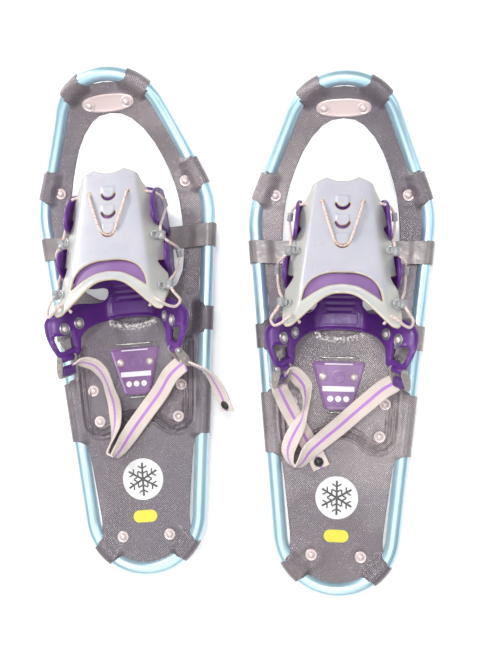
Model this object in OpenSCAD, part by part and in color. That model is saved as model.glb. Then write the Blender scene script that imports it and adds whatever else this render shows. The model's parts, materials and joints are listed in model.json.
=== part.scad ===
// A pair of aluminium-framed snowshoes with strap-hung, hinged bindings.
// Each shoe is drawn about its own centre: +Y towards the toe, +Z up, z = 0 at the tube's centre plane
// and y = 0 on the strap that the binding turns about. The pair then stands on its claws at z = 0.

/* [Frame] */
// Diameter of the frame tube
tube_d = 15; // [14:0.5:16]
// Outer radius of the nose curve, measured on the flat pattern
nose_r = 64.5; // [63:0.5:66]
// Outer radius of the two shoulder curves
shoulder_r = 95; // [94:0.5:96]
// Outer radius of the tail curve
tail_r = 67; // [66:0.5:68]
// Radius that the nose is rolled up to
bend_r = 260; // [255:1:265]

/* [Deck] */
// Thickness of the deck sheet
deck_t = 1.6; // [1.4:0.1:1.8]
// Height of the deck's underside above the tube's centre plane
deck_low = 1.2; // [1:0.1:1.4]

/* [Hinge strap] */
// Width of the hinge strap, toe to heel
strap_w = 25.6; // [24:0.2:26]
// Thickness of the hinge strap
strap_t = 2.6; // [2.4:0.1:2.8]

/* [Binding] */
// Thickness of the binding's moulded base
base_t = 4; // [3.6:0.1:4.4]
// Thickness of the toe cover
cover_t = 2.2; // [2:0.1:2.6]
// Diameter of the lace
lace_d = 3; // [2.6:0.1:3.2]

/* [Claws] */
// Depth of the claws below the tube's centre plane
claw_depth = 32; // [30:1:34]
// Thickness of the claw steel
steel_t = 2.5; // [2:0.1:2.6]

/* [Pair] */
// Turn of the left shoe, nose to the left
left_yaw = 4.8; // [4:0.2:6]
// Turn of the right shoe
right_yaw = -1; // [-2:0.2:0]

/* [Hidden] */
$fn = 48;
PARTS = ["frame_tube", "deck", "nose_plate", "nose_rivets", "deck_rivets", "heel_plate",
         "heel_plate_rivets", "plate_bars", "heel_crampon", "strap_ends", "strap_centre",
         "binding_base", "toe_crampon", "crampon_bolts", "wing_rivets", "wing_washers",
         "wing_clips", "top_cover", "inner_tongue", "lace", "cord_guides", "cord_ferrules",
         "heel_strap", "strap_snap", "adjuster_buckle", "adjuster_lever", "anchor_buckle",
         "anchor_lever", "buckle_pins"];

// Where each shoe's hinge strap crosses its centre line, with the pair centred on the origin
left_at = [-117.54, 102.38, claw_depth];
right_at = [119.46, 88.18, claw_depth];

// Frame outline on the flat pattern
nose_y = 128;
shoulder_x = 5.9;
shoulder_y = 31.5;
tail_y = -299;
bend_y0 = -5;
tube_r = tube_d / 2;

// Heights above the tube's centre plane
deck_top = deck_low + deck_t;
strap_low = deck_top + 0.3;
strap_top = strap_low + strap_t;
pivot_z = strap_low + strap_t / 2;
base_low = 7;
base_top = base_low + base_t;
claw_plate_top = strap_low - 0.1;
claw_plate_low = claw_plate_top - steel_t;

// Colours
frame_blue = [0.52, 0.74, 0.84];
deck_grey = [0.50, 0.46, 0.50];
plum = [0.33, 0.17, 0.48];
violet = [0.50, 0.33, 0.68];
milk = [0.82, 0.84, 0.88];
steel = [0.72, 0.70, 0.69];
taupe = [0.60, 0.56, 0.54];
webbing = [0.86, 0.80, 0.74];

// --- General geometry ---

function unit(v) = v / norm(v);
function mirror_x(p) = [-p[0], p[1], p[2]];

// Direction along an open or closed row of points
function directions(p, closed = false) =
    [for (i = [0 : len(p) - 1])
        let (last = len(p) - 1,
             next = closed ? (i + 1) % len(p) : min(i + 1, last),
             before = closed ? (i + last) % len(p) : max(i - 1, 0))
        unit(p[next] - p[before])];

// A side direction carried along a path without twisting
function carried(t, start) =
    [for (i = 0, b = unit(start - (start * t[0]) * t[0]);
          i < len(t);
          i = i + 1, b = unit(b - (b * t[min(i, len(t) - 1)]) * t[min(i, len(t) - 1)]))
        b];

// One point of a smooth curve between b and c
function curve_point(a, b, c, d, t) =
    0.5 * (2 * b + (c - a) * t + (2 * a - 5 * b + 4 * c - d) * t * t
           + (3 * b - a - 3 * c + d) * t * t * t);

// Smooth curve through a row of points, with a number of steps from each to the next
function smooth(p, steps) =
    [for (i = [0 : len(p) - 2])
        for (k = [0 : steps - 1])
            curve_point(p[max(i - 1, 0)], p[i], p[i + 1], p[min(i + 2, len(p) - 1)], k / steps),
     p[len(p) - 1]];

// Triangles of a skin over rings of n points each
function skin(rings, n, closed) =
    [for (i = [0 : rings - (closed ? 1 : 2)])
        for (k = [0 : n - 1])
            let (a = i * n, b = ((i + 1) % rings) * n, m = (k + 1) % n)
            each [[a + k, a + m, b + m], [a + k, b + m, b + k]]];

module ringed_solid(rings, closed = false) {
    count = len(rings);
    n = len(rings[0]);
    ends = closed ? [] : [[for (k = [n - 1 : -1 : 0]) k],
                          [for (k = [0 : n - 1]) (count - 1) * n + k]];
    polyhedron(points = [for (ring = rings) each ring],
               faces = concat(skin(count, n, closed), ends),
               convexity = 8);
}

// Round tube along a path; side holds a direction across the path at each point
module swept_tube(path, r, sides, side, closed = false) {
    t = directions(path, closed);
    ringed_solid([for (i = [0 : len(path) - 1])
                     [for (k = [0 : sides - 1])
                         let (a = -360 * k / sides)
                         path[i] + r * (cos(a) * side[i] + sin(a) * cross(t[i], side[i]))]],
                 closed);
}

// Flat band along a path; across holds the direction of its width at each point
module swept_band(path, across, width, t) {
    d = directions(path);
    ringed_solid([for (i = [0 : len(path) - 1])
                     let (w = unit(across[i] - (across[i] * d[i]) * d[i]) * width / 2,
                          n = unit(cross(d[i], w)) * t / 2)
                     [path[i] + w + n, path[i] + w - n, path[i] - w - n, path[i] - w + n]]);
}

// Puts flat work on a plane through o, with its x along u and its y towards v
module on_plane(o, u, v) {
    x = unit(u);
    n = unit(cross(x, v));
    y = cross(n, x);
    multmatrix([[x[0], y[0], n[0], o[0]],
                [x[1], y[1], n[1], o[1]],
                [x[2], y[2], n[2], o[2]],
                [0, 0, 0, 1]])
        children();
}

// Flat sheet with a given outline in space; its thickness goes along the outline's normal
module sheet(outline, t) {
    o = outline[0];
    x = unit(outline[1] - o);
    n = unit(cross(x, outline[len(outline) - 1] - o));
    y = cross(n, x);
    on_plane(o, x, y)
        linear_extrude(t)
            polygon([for (p = outline) [(p - o) * x, (p - o) * y]]);
}

module slot(length, r) {
    square([length - 2 * r, 2 * r], center = true);
    for (s = [-1, 1])
        translate([s * (length / 2 - r), 0]) circle(r);
}

// Cylinder from point a to point b
module rod(a, b, r) {
    side = abs(unit(b - a)[2]) < 0.9 ? [0, 0, 1] : [1, 0, 0];
    u = unit(cross(b - a, side));
    on_plane(a, u, cross(b - a, u))
        cylinder(h = norm(b - a), r = r);
}

module both_sides() {
    children();
    mirror([1, 0, 0]) children();
}

// --- Frame outline ---

// Angle of the outer tangent line from one curve to the next
function tangent(c1, r1, c2, r2) =
    let (d = c2 - c1) atan2(d[1], d[0]) + acos((r1 - r2) / norm(d));
nose_c = [0, nose_y];
shoulder_c = [shoulder_x, shoulder_y];
tail_c = [0, tail_y];
rail_angle = tangent(nose_c, nose_r, shoulder_c, shoulder_r);
side_angle = tangent(shoulder_c, shoulder_r, tail_c, tail_r);

function on_arc(c, r, a) = c + r * [cos(a), sin(a)];
function arc(c, r, from, to, steps) =
    [for (k = [0 : steps]) on_arc(c, r, from + (to - from) * k / steps)];
function between(a, b, steps) = [for (k = [1 : steps - 1]) a + (b - a) * k / steps];

// Right half of the outline on the flat pattern, nose to tail, set in from the outer edge
function half_outline(inset) =
    let (nose = arc(nose_c, nose_r - inset, 90, rail_angle, 6),
         shoulder = arc(shoulder_c, shoulder_r - inset, rail_angle, side_angle, 5),
         tail = arc(tail_c, tail_r - inset, side_angle, -90, 8))
    concat(nose, between(nose[6], shoulder[0], 4), shoulder,
           between(shoulder[5], tail[0], 4), tail);

function full_outline(inset) =
    let (half = half_outline(inset), last = len(half) - 1)
    concat(half, [for (i = [last - 1 : -1 : 1]) [-half[i][0], half[i][1]]]);

// From the flat pattern to the rolled-up shoe
function bend_angle(s) = max(0, s - bend_y0) / bend_r * 180 / PI;
function bent_y(s) = min(s, bend_y0) + bend_r * sin(bend_angle(s));
function bent_z(s) = bend_r * (1 - cos(bend_angle(s)));
function bent(p) = [p[0], bent_y(p[1]), bent_z(p[1])];
// Angle and height of the tube's centre plane at a distance y along the finished shoe
function slope_at(y) = asin(max(0, y - bend_y0) / bend_r);
function rise_at(y) = bend_r * (1 - cos(slope_at(y)));

// Everything between two heights above the rolled-up centre plane
bend_steps = 12;
bend_end = 46;
function bend_line(h) =
    [for (k = [0 : bend_steps])
        let (a = bend_end * k / bend_steps)
        [bend_y0 + (bend_r - h) * sin(a), bend_r - (bend_r - h) * cos(a)]];

module bent_layer(low, high, wide = 240) {
    below = bend_line(low);
    above = bend_line(high);
    translate([-wide / 2, 0, 0])
        rotate([90, 0, 90])
            linear_extrude(wide)
                polygon(concat([[-400, low]], below,
                               [for (i = [bend_steps : -1 : 0]) above[i]], [[-400, high]]));
}

// --- Frame and deck ---

// Right-hand places on the tube's centre line, flat pattern, where the deck is folded round it
side_line = function(s) on_arc(shoulder_c, shoulder_r - tube_r, side_angle)
                        + (s - on_arc(shoulder_c, shoulder_r - tube_r, side_angle)[1])
                          * [-tan(side_angle), 1];
function nose_at(a) = on_arc(nose_c, nose_r - tube_r, a);
function tail_at(a) = on_arc(tail_c, tail_r - tube_r, a);
WRAPS = [[nose_at(65), nose_at(41)],
         [on_arc(nose_c, nose_r - tube_r, rail_angle) + [25.6, -64],
          on_arc(shoulder_c, shoulder_r - tube_r, 17)],
         [side_line(-79), side_line(-105)],
         [side_line(-153), side_line(-217)],
         [tail_at(-29), tail_at(-55)]];
wrap_t = 1.5;
tab_depth = 24;
deck_inset = tube_d + 1;

// Toe opening, right half, from the front to the back
OPENING = [[0, 136], [12, 134.5], [22, 129.5], [33, 119], [42.5, 105], [49.5, 90], [55.5, 74],
           [59.5, 58], [62, 42], [63, 26], [63.5, 8], [63, -15], [60, -36], [52, -52], [38, -61],
           [20, -64.5], [0, -65]];

module frame_tube() {
    flat = full_outline(tube_r);
    path = [for (p = flat) bent(p)];
    t = directions(path, true);
    up = [for (p = flat) [0, -sin(bend_angle(p[1])), cos(bend_angle(p[1]))]];
    side = [for (i = [0 : len(path) - 1]) unit(up[i] - (up[i] * t[i]) * t[i])];
    swept_tube(path, tube_r, 12, side, closed = true);
}

// Flat tongue that joins a fold to the deck, a little shorter than the fold
module wrap_tab(a, b) {
    u = unit([b[0] - a[0], b[1] - a[1]]);
    from = [a[0], a[1]] + u;
    to = [b[0], b[1]] - u;
    inward = tab_depth * [-u[1], u[0]];
    polygon([from, to, to - inward, from - inward]);
}

module deck_plan() {
    difference() {
        union() {
            polygon([for (p = full_outline(deck_inset)) [p[0], bent_y(p[1])]]);
            for (w = WRAPS)
                for (s = [0, 1])
                    mirror([s, 0, 0]) wrap_tab(bent(w[0]), bent(w[1]));
        }
        polygon(both_halves(OPENING));
    }
}

module deck() {
    difference() {
        union() {
            intersection() {
                bent_layer(deck_low, deck_top);
                translate([0, 0, -10]) linear_extrude(120) deck_plan();
            }
            both_sides()
                for (w = WRAPS)
                    rod(bent(w[0]), bent(w[1]), tube_r + wrap_t);
        }
        both_sides()
            for (w = WRAPS) {
                a = bent(w[0]);
                b = bent(w[1]);
                rod(a - 3 * unit(b - a), b + 3 * unit(b - a), tube_r);
            }
        for (p = DECK_RIVETS) rivet_shank(p, 0.05);
        for (p = NOSE_RIVETS) rivet_shank(p, 0.05);
        for (p = PLATE_RIVETS) rivet_shank(p, 0.05);
    }
}

// --- Rivets ---

shank_r = 2.4;
rivet_washer_r = 6;
rivet_dome_r = 3.6;
front_rivet = [71.5, 62];
CLAW_RIVETS = [[49.6, -163], [44.2, -197.4]];
tail_rivet = [25.9, -323.5];
DECK_RIVETS = [for (s = [-1, 1])
                   for (p = concat([front_rivet, tail_rivet], CLAW_RIVETS)) [s * p[0], p[1]]];
NOSE_RIVETS = [[-20.3, 144.6], [20.3, 144.6]];
PLATE_RIVETS = [[-16.6, -134.7], [16.6, -134.7]];

module on_deck(p) {
    translate([p[0], p[1], rise_at(p[1])])
        rotate([slope_at(p[1]), 0, 0])
            children();
}

module rivet_shank(p, gap = 0) {
    on_deck(p) translate([0, 0, deck_low - 3]) cylinder(h = deck_t + 6, r = shank_r + gap);
}

// Rivet with a washer and a domed head that starts at a height above the tube's centre plane
module rivet(p, bottom, seat, washer_r, dome_r) {
    on_deck(p) {
        translate([0, 0, bottom]) cylinder(h = seat - bottom + 0.5, r = shank_r);
        translate([0, 0, seat]) cylinder(h = 1, r = washer_r);
        intersection() {
            translate([0, 0, seat + 1 - dome_r]) sphere(dome_r * 1.3);
            translate([0, 0, seat + 0.5]) cylinder(h = 3, r = dome_r);
        }
    }
}

// Room under a flat washer where the deck is rolled up
bent_room = 0.3;

module deck_rivets() {
    for (p = DECK_RIVETS) {
        room = p[1] > bend_y0 ? bent_room : 0.02;
        rivet(p, deck_low - steel_t, deck_top + room, rivet_washer_r, rivet_dome_r);
    }
}

// --- Nose plate ---

nose_plate_y = 145;
nose_plate_t = 1.2;

module nose_plate() {
    difference() {
        intersection() {
            bent_layer(deck_top + 0.02, deck_top + 0.02 + nose_plate_t);
            translate([0, nose_plate_y, 20]) linear_extrude(60) slot(57, 9.6);
        }
        for (p = NOSE_RIVETS) rivet_shank(p, 0.05);
    }
}

module nose_rivets() {
    for (p = NOSE_RIVETS)
        rivet(p, deck_low - 1, deck_top + nose_plate_t + bent_room, 4.2, 3.2);
}

// --- Heel plate ---

heel_plate_t = 1.6;
HEEL_PLATE = [[27.5, -117], [28.5, -120], [18, -167], [14, -171], [-14, -171], [-18, -167],
              [-28.5, -120], [-27.5, -117]];

module heel_plate() {
    difference() {
        translate([0, 0, deck_top + 0.02]) linear_extrude(heel_plate_t) polygon(HEEL_PLATE);
        for (p = PLATE_RIVETS) rivet_shank(p, 0.05);
    }
}

module heel_plate_rivets() {
    for (p = PLATE_RIVETS)
        rivet(p, deck_low - 1, deck_top + heel_plate_t + 0.04, 5, 4.2);
}

module plate_bars() {
    translate([0, -114.2, deck_top + 0.02]) linear_extrude(1.6) slot(42, 1.2);
    translate([0, -173.4, deck_top + 0.02]) linear_extrude(1.4) slot(20, 1.1);
}

// --- Heel claws ---

claw_pitch = 27;
blade_x = 41;

// Saw-toothed blade outline along its length, hanging from zero height
function teeth(from, count, pitch, root, depth) =
    [for (k = [0 : count - 1])
        each [[from + k * pitch, -root],
              [from + (k + 0.42) * pitch, -depth],
              [from + (k + 0.58) * pitch, -depth],
              [from + (k + 1) * pitch, -root]]];

module blade(from, count, pitch, root, depth) {
    linear_extrude(steel_t)
        polygon(concat([[from + count * pitch, 0], [from, 0]], teeth(from, count, pitch, root, depth)));
}

module heel_crampon() {
    top = deck_low - 0.1;
    difference() {
        union() {
            translate([0, 0, top - steel_t])
                linear_extrude(steel_t)
                    polygon([[56, -124], [56, -198], [52, -206], [44, -210], [32, -208], [15, -195],
                             [-15, -195], [-32, -208], [-44, -210], [-52, -206], [-56, -198], [-56, -124],
                             [-36, -124], [-36, -178], [-28, -184], [28, -184], [36, -178], [36, -124]]);
            both_sides()
                on_plane([blade_x, 0, top - steel_t / 2], [0, 1, 0], [0, 0, 1])
                    blade(-205, 3, claw_pitch, 9, claw_depth + top - steel_t / 2);
        }
        for (p = DECK_RIVETS) rivet_shank(p, 0.05);
    }
}

// --- Hinge strap ---

strap_split = 53;
strap_sleeve_r = tube_r + 2;

module strap_slab(from, to) {
    translate([from, -strap_w / 2, strap_low]) cube([to - from, strap_w, strap_t]);
}

module strap_ends() {
    a = [side_line(strap_w / 2)[0], strap_w / 2, 0];
    b = [side_line(-strap_w / 2)[0], -strap_w / 2, 0];
    both_sides()
        difference() {
            union() {
                strap_slab(strap_split + 0.5, side_line(0)[0]);
                rod(a, b, strap_sleeve_r);
            }
            rod(a + unit(a - b), b + unit(b - a), tube_r + 0.05);
        }
}

module strap_centre() {
    strap_slab(-strap_split, strap_split);
}

// --- Binding base ---

bolt_x = 24;
bolt_y = 17.5;
bolt_r = 2.5;
boss_low = strap_top + 0.1;
BOLTS = [for (x = [-bolt_x, bolt_x]) for (y = [-bolt_y, bolt_y]) [x, y]];

// Middle line of the cross piece and its wings, right half, across the shoe
hinge = [28, base_low + base_t / 2];
elbow = [45, 43];
wing_top = [61, 66];
wing_edge = [73.5, 70];
wing_v = unit(wing_top - elbow);
WING_LINE = [[0, hinge[1]], hinge, elbow, wing_top, wing_edge];

// Outline of neck, cross piece and wings seen from above, right half
WING_PLAN = [[0, -48], [24, -48], [24, -58], [27, -64.5], [33, -68], [45, -70], [65, -80], [74, -88],
             [74, -100], [71, -112], [66, -122], [60, -130], [56, -131], [50, -127], [45.8, -121.5],
             [45.2, -113], [44.8, -106], [42, -100], [36, -93], [28, -87.5], [20, -85], [0, -84.5]];
BASE_PLAN = [[0, 61], [28, 60], [38, 56], [43, 50], [47, 3], [49, -6], [51, -20], [51, -46],
             [24, -50], [0, -50]];
FRONT_FLAP = [[55, 0], [53, 14], [49, 32], [43, 47], [34, 58], [24, 65], [12, 68], [5, 66],
              [3, 58], [3, 0]];
REAR_FLAP = [[-7, 0], [-9, 36], [-12, 52], [-20, 65], [-31, 69], [-40, 64], [-45, 52],
             [-46, 38], [-47, 0]];
front_flap_x = [43.5, 48.5];
rear_flap_x = [49.5, 57.5];
flap_t = 3;

// Offsets a line sideways by d, keeping its corners sharp
function offset_line(p, d) =
    [for (i = [0 : len(p) - 1])
        let (a = unit(p[min(i + 1, len(p) - 1)] - p[min(i, len(p) - 2)]),
             b = unit(p[max(i, 1)] - p[max(i - 1, 0)]),
             m = unit(a + b))
        p[i] + d * [-m[1], m[0]] / (m * a)];

module wing_band() {
    right = concat(offset_line(WING_LINE, base_t / 2),
                   [for (i = [len(WING_LINE) - 1 : -1 : 0]) offset_line(WING_LINE, -base_t / 2)[i]]);
    both_sides()
        translate([0, -40, 0])
            rotate([90, 0, 0])
                linear_extrude(100) polygon(right);
}

// A right-hand outline, front to back, joined to its mirror image
function both_halves(p) = concat(p, [for (i = [len(p) - 2 : -1 : 1]) [-p[i][0], p[i][1]]]);

module wing_plan() {
    polygon(both_halves(WING_PLAN));
}

// Window in each wing that holds the metal clip
WINDOW = [[51.2, -98.5], [53.6, -99], [54.6, -104.8], [65, -105], [66, -108.5], [61, -120.8],
          [58.8, -121.6], [49.8, -116.2]];

// Upright flap; room adds to both its faces, and outwards as far as reach
module flap(outline, x, y_from, y_to, lean, room = 0, reach = 0) {
    foot = [x, y_from, base_low];
    along = [lean[0], y_to - y_from, 0];
    on_plane(foot, [0, 1, 0] + [along[0] / along[1], 0, 0], [lean[1], 0, 60])
        translate([-y_from, 0, -flap_t / 2 - room])
            linear_extrude(flap_t + room + reach) offset(delta = room) polygon(outline);
}

module front_flap(room = 0, reach = 0) {
    flap(FRONT_FLAP, front_flap_x[1], 3, 55, [front_flap_x[0] - front_flap_x[1], 0], room, reach);
}

module rear_flap(room = 0, reach = 0) {
    flap(REAR_FLAP, rear_flap_x[0], -47, -7, [0, rear_flap_x[1] - rear_flap_x[0]], room, reach);
}

module wing_boss() {
    rod(pin_at(-7.5), pin_at(7.5), 3.6);
}

// Raised pad on the neck that the sole rests on
pad_h = 0.6;
pad_y = -67;
pad_size = [40, 24];

module heel_pad() {
    translate([0, pad_y, base_top - 0.5])
        linear_extrude(pad_h + 0.5) square(pad_size, center = true);
}

module binding_base() {
    difference() {
        union() {
            translate([0, 0, base_low])
                linear_extrude(base_t) polygon(both_halves(BASE_PLAN));
            translate([-34, -24, boss_low]) cube([68, 48, base_low + 1 - boss_low]);
            translate([-22, -81, deck_top + 0.2]) cube([44, 6, base_low + 1 - deck_top]);
            intersection() {
                wing_band();
                linear_extrude(90) wing_plan();
            }
            both_sides() {
                front_flap();
                rear_flap();
                wing_boss();
            }
            heel_pad();
        }
        for (p = BOLTS)
            translate([p[0], p[1], 0]) cylinder(h = 30, r = bolt_r + 0.05);
        both_sides() {
            translate([0, 0, 30]) linear_extrude(60) polygon(WINDOW);
            rod(pin_at(-20), pin_at(20), pin_r + 0.05);
            for (k = [-arm_gap - arm_t, arm_gap])
                rod(pin_at(k - arm_room), pin_at(k + arm_t + arm_room), arm_sweep_r);
            for (p = WING_RIVETS) on_wing(p) translate([0, 0, -20]) cylinder(h = 40, r = shank_r + 0.05);
        }
    }
}

// --- Toe claws ---

toe_claw_x = 34;

module toe_crampon() {
    difference() {
        union() {
            translate([0, 0, claw_plate_low])
                linear_extrude(steel_t)
                    polygon([[36.5, 44], [36.5, -30], [14, -30], [10, -24], [-10, -24], [-14, -30],
                             [-36.5, -30], [-36.5, 44], [-30, 52], [30, 52]]);
            both_sides()
                on_plane([toe_claw_x, 0, claw_plate_low + 1], [0, 1, 0], [0, 0, 1])
                    blade(-29, 3, 24, 8, claw_depth + claw_plate_low + 1);
            on_plane([0, 51.5, claw_plate_low + 1], [1, 0, 0], [0, 0, 1])
                blade(-30, 2, 30, 7, claw_depth + claw_plate_low + 1);
        }
        for (p = BOLTS)
            translate([p[0], p[1], -10]) cylinder(h = 30, r = bolt_r + 0.05);
    }
}

module crampon_bolts() {
    for (p = BOLTS)
        translate([p[0], p[1], 0]) {
            translate([0, 0, claw_plate_low - 3]) cylinder(h = 2.98, r = 4.6, $fn = 6);
            translate([0, 0, claw_plate_low - 1]) cylinder(h = base_top - claw_plate_low + 2, r = bolt_r);
            translate([0, 0, base_top + 0.02]) cylinder(h = 1.6, r = 4.4);
        }
}

// --- Wing fittings ---

// Rivets on each wing: distance up the wing from its elbow, and place along the shoe
WING_RIVETS = [[5, -91], [23.3, -97.5]];
washer_r = 6.3;
washer_t = 1;
wing_face = base_t / 2 + 0.02;

module on_wing(p) {
    at = elbow + p[0] * wing_v;
    on_plane([at[0], p[1], at[1]], [0, 1, 0], [-wing_v[0], 0, -wing_v[1]])
        children();
}

module wing_washers() {
    both_sides()
        for (p = WING_RIVETS)
            on_wing(p)
                translate([0, 0, wing_face])
                    difference() {
                        cylinder(h = washer_t, r = washer_r);
                        translate([0, 0, -1]) cylinder(h = washer_t + 2, r = shank_r + 0.05);
                    }
}

module wing_rivets() {
    both_sides()
        for (p = WING_RIVETS)
            on_wing(p) {
                translate([0, 0, -wing_face - 1.5]) cylinder(h = 1.4, r = 4);
                translate([0, 0, -wing_face - 1]) cylinder(h = 2 * wing_face + washer_t + 2, r = shank_r);
                translate([0, 0, wing_face + washer_t + 0.02]) cylinder(h = 1.6, r = 3.4);
            }
}

// A broad clip lies under the left wing's window and a narrow angled one under the right wing's
CLIP = [[50.4, -115], [60.2, -120.6], [64, -111.5], [59.5, -108.6], [56.8, -106.2], [51.3, -104.6]];
ANGLE_CLIP = [[49.9, -114.8], [60, -120.4], [61.4, -118.4], [54.6, -113.6], [56.4, -106], [53.6, -105.6],
              [51.4, -113.2]];
clip_t = 1;
function under_wing(p) = [p[0], p[1], 44 + 1.2 * (p[0] - 50)];

module wing_clips() {
    mirror([1, 0, 0]) sheet([for (p = CLIP) under_wing(p)], clip_t);
    sheet([for (p = ANGLE_CLIP) under_wing(p)], clip_t);
}

// --- Buckles ---

// The pin lies along the wing's rear edge
pin_c = [57, -127.5, 60.2];
pin_u = unit([0.56, -0.25, 0.80]);
// Direction in which a buckle hangs from its pin, and its outward normal
hang = unit([0, -0.82, -0.57] - ([0, -0.82, -0.57] * pin_u) * pin_u);
buckle_n = cross(pin_u, hang);
pin_r = 1.5;
arm_gap = 8.2;
arm_t = 2.4;
// Room cut for each arm's foot as it turns
arm_room = 0.4;
arm_sweep_r = 8;
buckle_len = 19;
lever_at = 11;
lever_h = 0.5;
LEVER = [[-3, 0], [-1.5, -2.6], [1.5, -2.6], [3, 0.5], [6.5, 4.2], [5.5, 6], [-2, 3.6]];
function pin_at(k) = pin_c + k * pin_u;
// Outward turn of each buckle about its pin
LEFT_TURNS = [20, 0];
RIGHT_TURNS = [0, 6];
function hang_at(turn) = cos(turn) * hang + sin(turn) * buckle_n;
function out_at(turn) = cross(pin_u, hang_at(turn));
function buckle_at(k, d, h, turn) = pin_c + k * pin_u + d * hang_at(turn) + h * out_at(turn);

module buckle_arm(k, turn) {
    on_plane(buckle_at(k, 0, 0, turn), hang_at(turn), out_at(turn))
        difference() {
            translate([0, 0, -arm_t])
                linear_extrude(arm_t)
                    polygon([[-3.5, -3], [3, -4.5], [buckle_len, -3], [buckle_len + 2.5, 0],
                             [buckle_len, 3], [lever_at, 5], [3, 4], [-3, 3.2]]);
            translate([0, 0, -5]) cylinder(h = 10, r = pin_r + 0.05);
            translate([lever_at, lever_h, -5]) cylinder(h = 10, r = pin_r + 0.05);
        }
}

module buckle(turn) {
    buckle_arm(-arm_gap, turn);
    buckle_arm(arm_gap + arm_t, turn);
    rod(buckle_at(-arm_gap - 1, buckle_len, 0, turn), buckle_at(arm_gap + 1, buckle_len, 0, turn), 1.8);
}

// The cam lever's plate lies on the outward side of its pin, or on the inward side for face = -1
module lever(turn, face) {
    rod(buckle_at(-arm_gap - arm_t, lever_at, lever_h, turn),
        buckle_at(arm_gap + arm_t, lever_at, lever_h, turn), pin_r);
    on_plane(buckle_at(-7.6, 0, 0, turn), hang_at(turn), out_at(turn))
        linear_extrude(15.2)
            polygon([for (p = LEVER) [lever_at + p[0], lever_h + face * p[1]]]);
}

module buckle_pins() {
    both_sides()
        rod(pin_at(-arm_gap - arm_t - 1), pin_at(arm_gap + arm_t + 1), pin_r);
}

// --- Toe cover ---

// Height of the cover's upper face on its flat middle panel
function cover_z(y) = 77.6 - 0.208 * y;
function cover_p(x, y) = [x, y, cover_z(y)];
COVER_MIDDLE = [[0, 62.5], [9, 63.5], [16, 66.5], [31.5, 60], [28.4, 58], [35.3, 0], [44, -74],
                [55, -84], [54, -88], [49, -88], [42, -82], [31, -71.5], [23, -64], [13.5, -57.5], [0, -54.8]];
COVER_FLANK = [[28.9, 54, 66.4], [44, -74, 93], [55, -84, 94], [57.5, -62, 68], [56, -48, 66],
               [50, -40, 74], [48.5, -36, 71], [54.5, -33, 57], [53, -14, 54], [50.5, 0, 51],
               [47.5, 6, 54], [42, 13.5, 64.5], [46, 19, 52], [44.5, 27, 52], [38.5, 43, 57], [34, 52, 60]];
CRESCENT = [[0, -34], [12, -34.5], [22, -37.5], [31, -43], [37, -53], [38.5, -62], [28, -54.5],
            [14, -47], [0, -45]];
TAB_Y = [40, 20, 0];
LACE_HOLES = [[20.3, 40]];
// Gap left round the base's flaps, and how far out the cover is cut away beyond them
cover_room = 0.3;
cover_reach = 14;

module cover_middle(outline, top, t) {
    on_plane(cover_p(0, 0) + [0, 0, top], [1, 0, 0], cover_p(0, 1) - cover_p(0, 0))
        translate([0, 0, -t])
            linear_extrude(t)
                polygon([for (p = both_halves(outline))
                            [p[0], p[1] * norm(cover_p(0, 1) - cover_p(0, 0))]]);
}

module cover_flank() {
    // The flank's plane holds the crease and leans out below it
    o = [35.3, 0, cover_z(0)];
    along = unit([44, -74, cover_z(-74)] - o);
    out = unit([0.56, 0, -0.83] - ([0.56, 0, -0.83] * along) * along);
    on_plane(o, along, out)
        linear_extrude(cover_t)
            polygon([for (p = COVER_FLANK) [(p - o) * along, (p - o) * out]]);
}

module top_cover() {
    difference() {
        union() {
            cover_middle(COVER_MIDDLE, 0, cover_t);
            both_sides() cover_flank();
            for (y = TAB_Y)
                on_plane(cover_p(0, y), [1, 0, 0], cover_p(0, 1) - cover_p(0, 0))
                    linear_extrude(1.4) intersection() {
                        circle(8);
                        translate([-8, -6]) square([16, 12]);
                    }
        }
        cover_middle(CRESCENT, 3, 8);
        both_sides() {
            front_flap(cover_room, cover_reach);
            rear_flap(cover_room, cover_reach);
        }
        both_sides()
            for (p = LACE_HOLES)
                on_plane(cover_p(p[0], p[1]), [1, 0, 0], [0, 1, -0.208])
                    translate([0, 0, -10]) cylinder(h = 20, r = 2);
    }
}

TONGUE = [[0, 20], [20, 18], [27, 0], [31, -30], [36, -52], [36.5, -63], [26, -57], [12, -50.5], [0, -49]];

module inner_tongue() {
    cover_middle(TONGUE, -4, 1.8);
}

// --- Lace, its guides and ferrules ---

// Lace on the right-hand side, from the middle tab out to its end under the cover
LACE = [[0, -8.5, 81.6], [6, -5, 81], [9.5, 3, 79.5], [15, 20, 76], [19, 34, 73], [20.3, 40, 69],
        [24, 42, 63], [32, 41, 59], [40, 40, 58], [47, 38, 56], [52, 34, 48], [53.8, 27, 44],
        [52.5, 12, 54], [51.5, -2, 65], [53.5, -11, 68], [58, -16, 67], [62.5, -19, 60],
        [65, -22, 46], [65, -34, 44], [62, -50, 60], [59, -62, 75], [63, -70, 79], [69, -80, 76],
        [66, -86, 82], [58, -85, 92], [51, -80, 96.5], [46, -77, 90], [40, -84, 86]];
GUIDES = [[51.6, -9, 66], [58, -63.5, 75]];
FERRULES = [[[52.9, 33, 47], [53.9, 26, 43.8]], [[65, -22, 47], [65.2, -29, 42.5]]];

module lace() {
    half = smooth(LACE, 2);
    path = concat([for (i = [len(half) - 1 : -1 : 1]) mirror_x(half[i])], half);
    swept_tube(path, lace_d / 2, 8, carried(directions(path), [0, 1, 0]));
}

module cord_guides() {
    both_sides()
        for (p = GUIDES)
            translate(p)
                rotate([0, 90, 0]) {
                    translate([-3, 0, -3.5]) cylinder(h = 9, r = 4.5);
                    translate([3, 0, -5.5]) cylinder(h = 6, r = 4);
                }
}

module cord_ferrules() {
    both_sides()
        for (f = FERRULES)
            rod(f[0], f[1], 3.2);
}

// --- Heel strap ---

heel_strap_w = 19;
heel_strap_t = 1.8;

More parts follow.
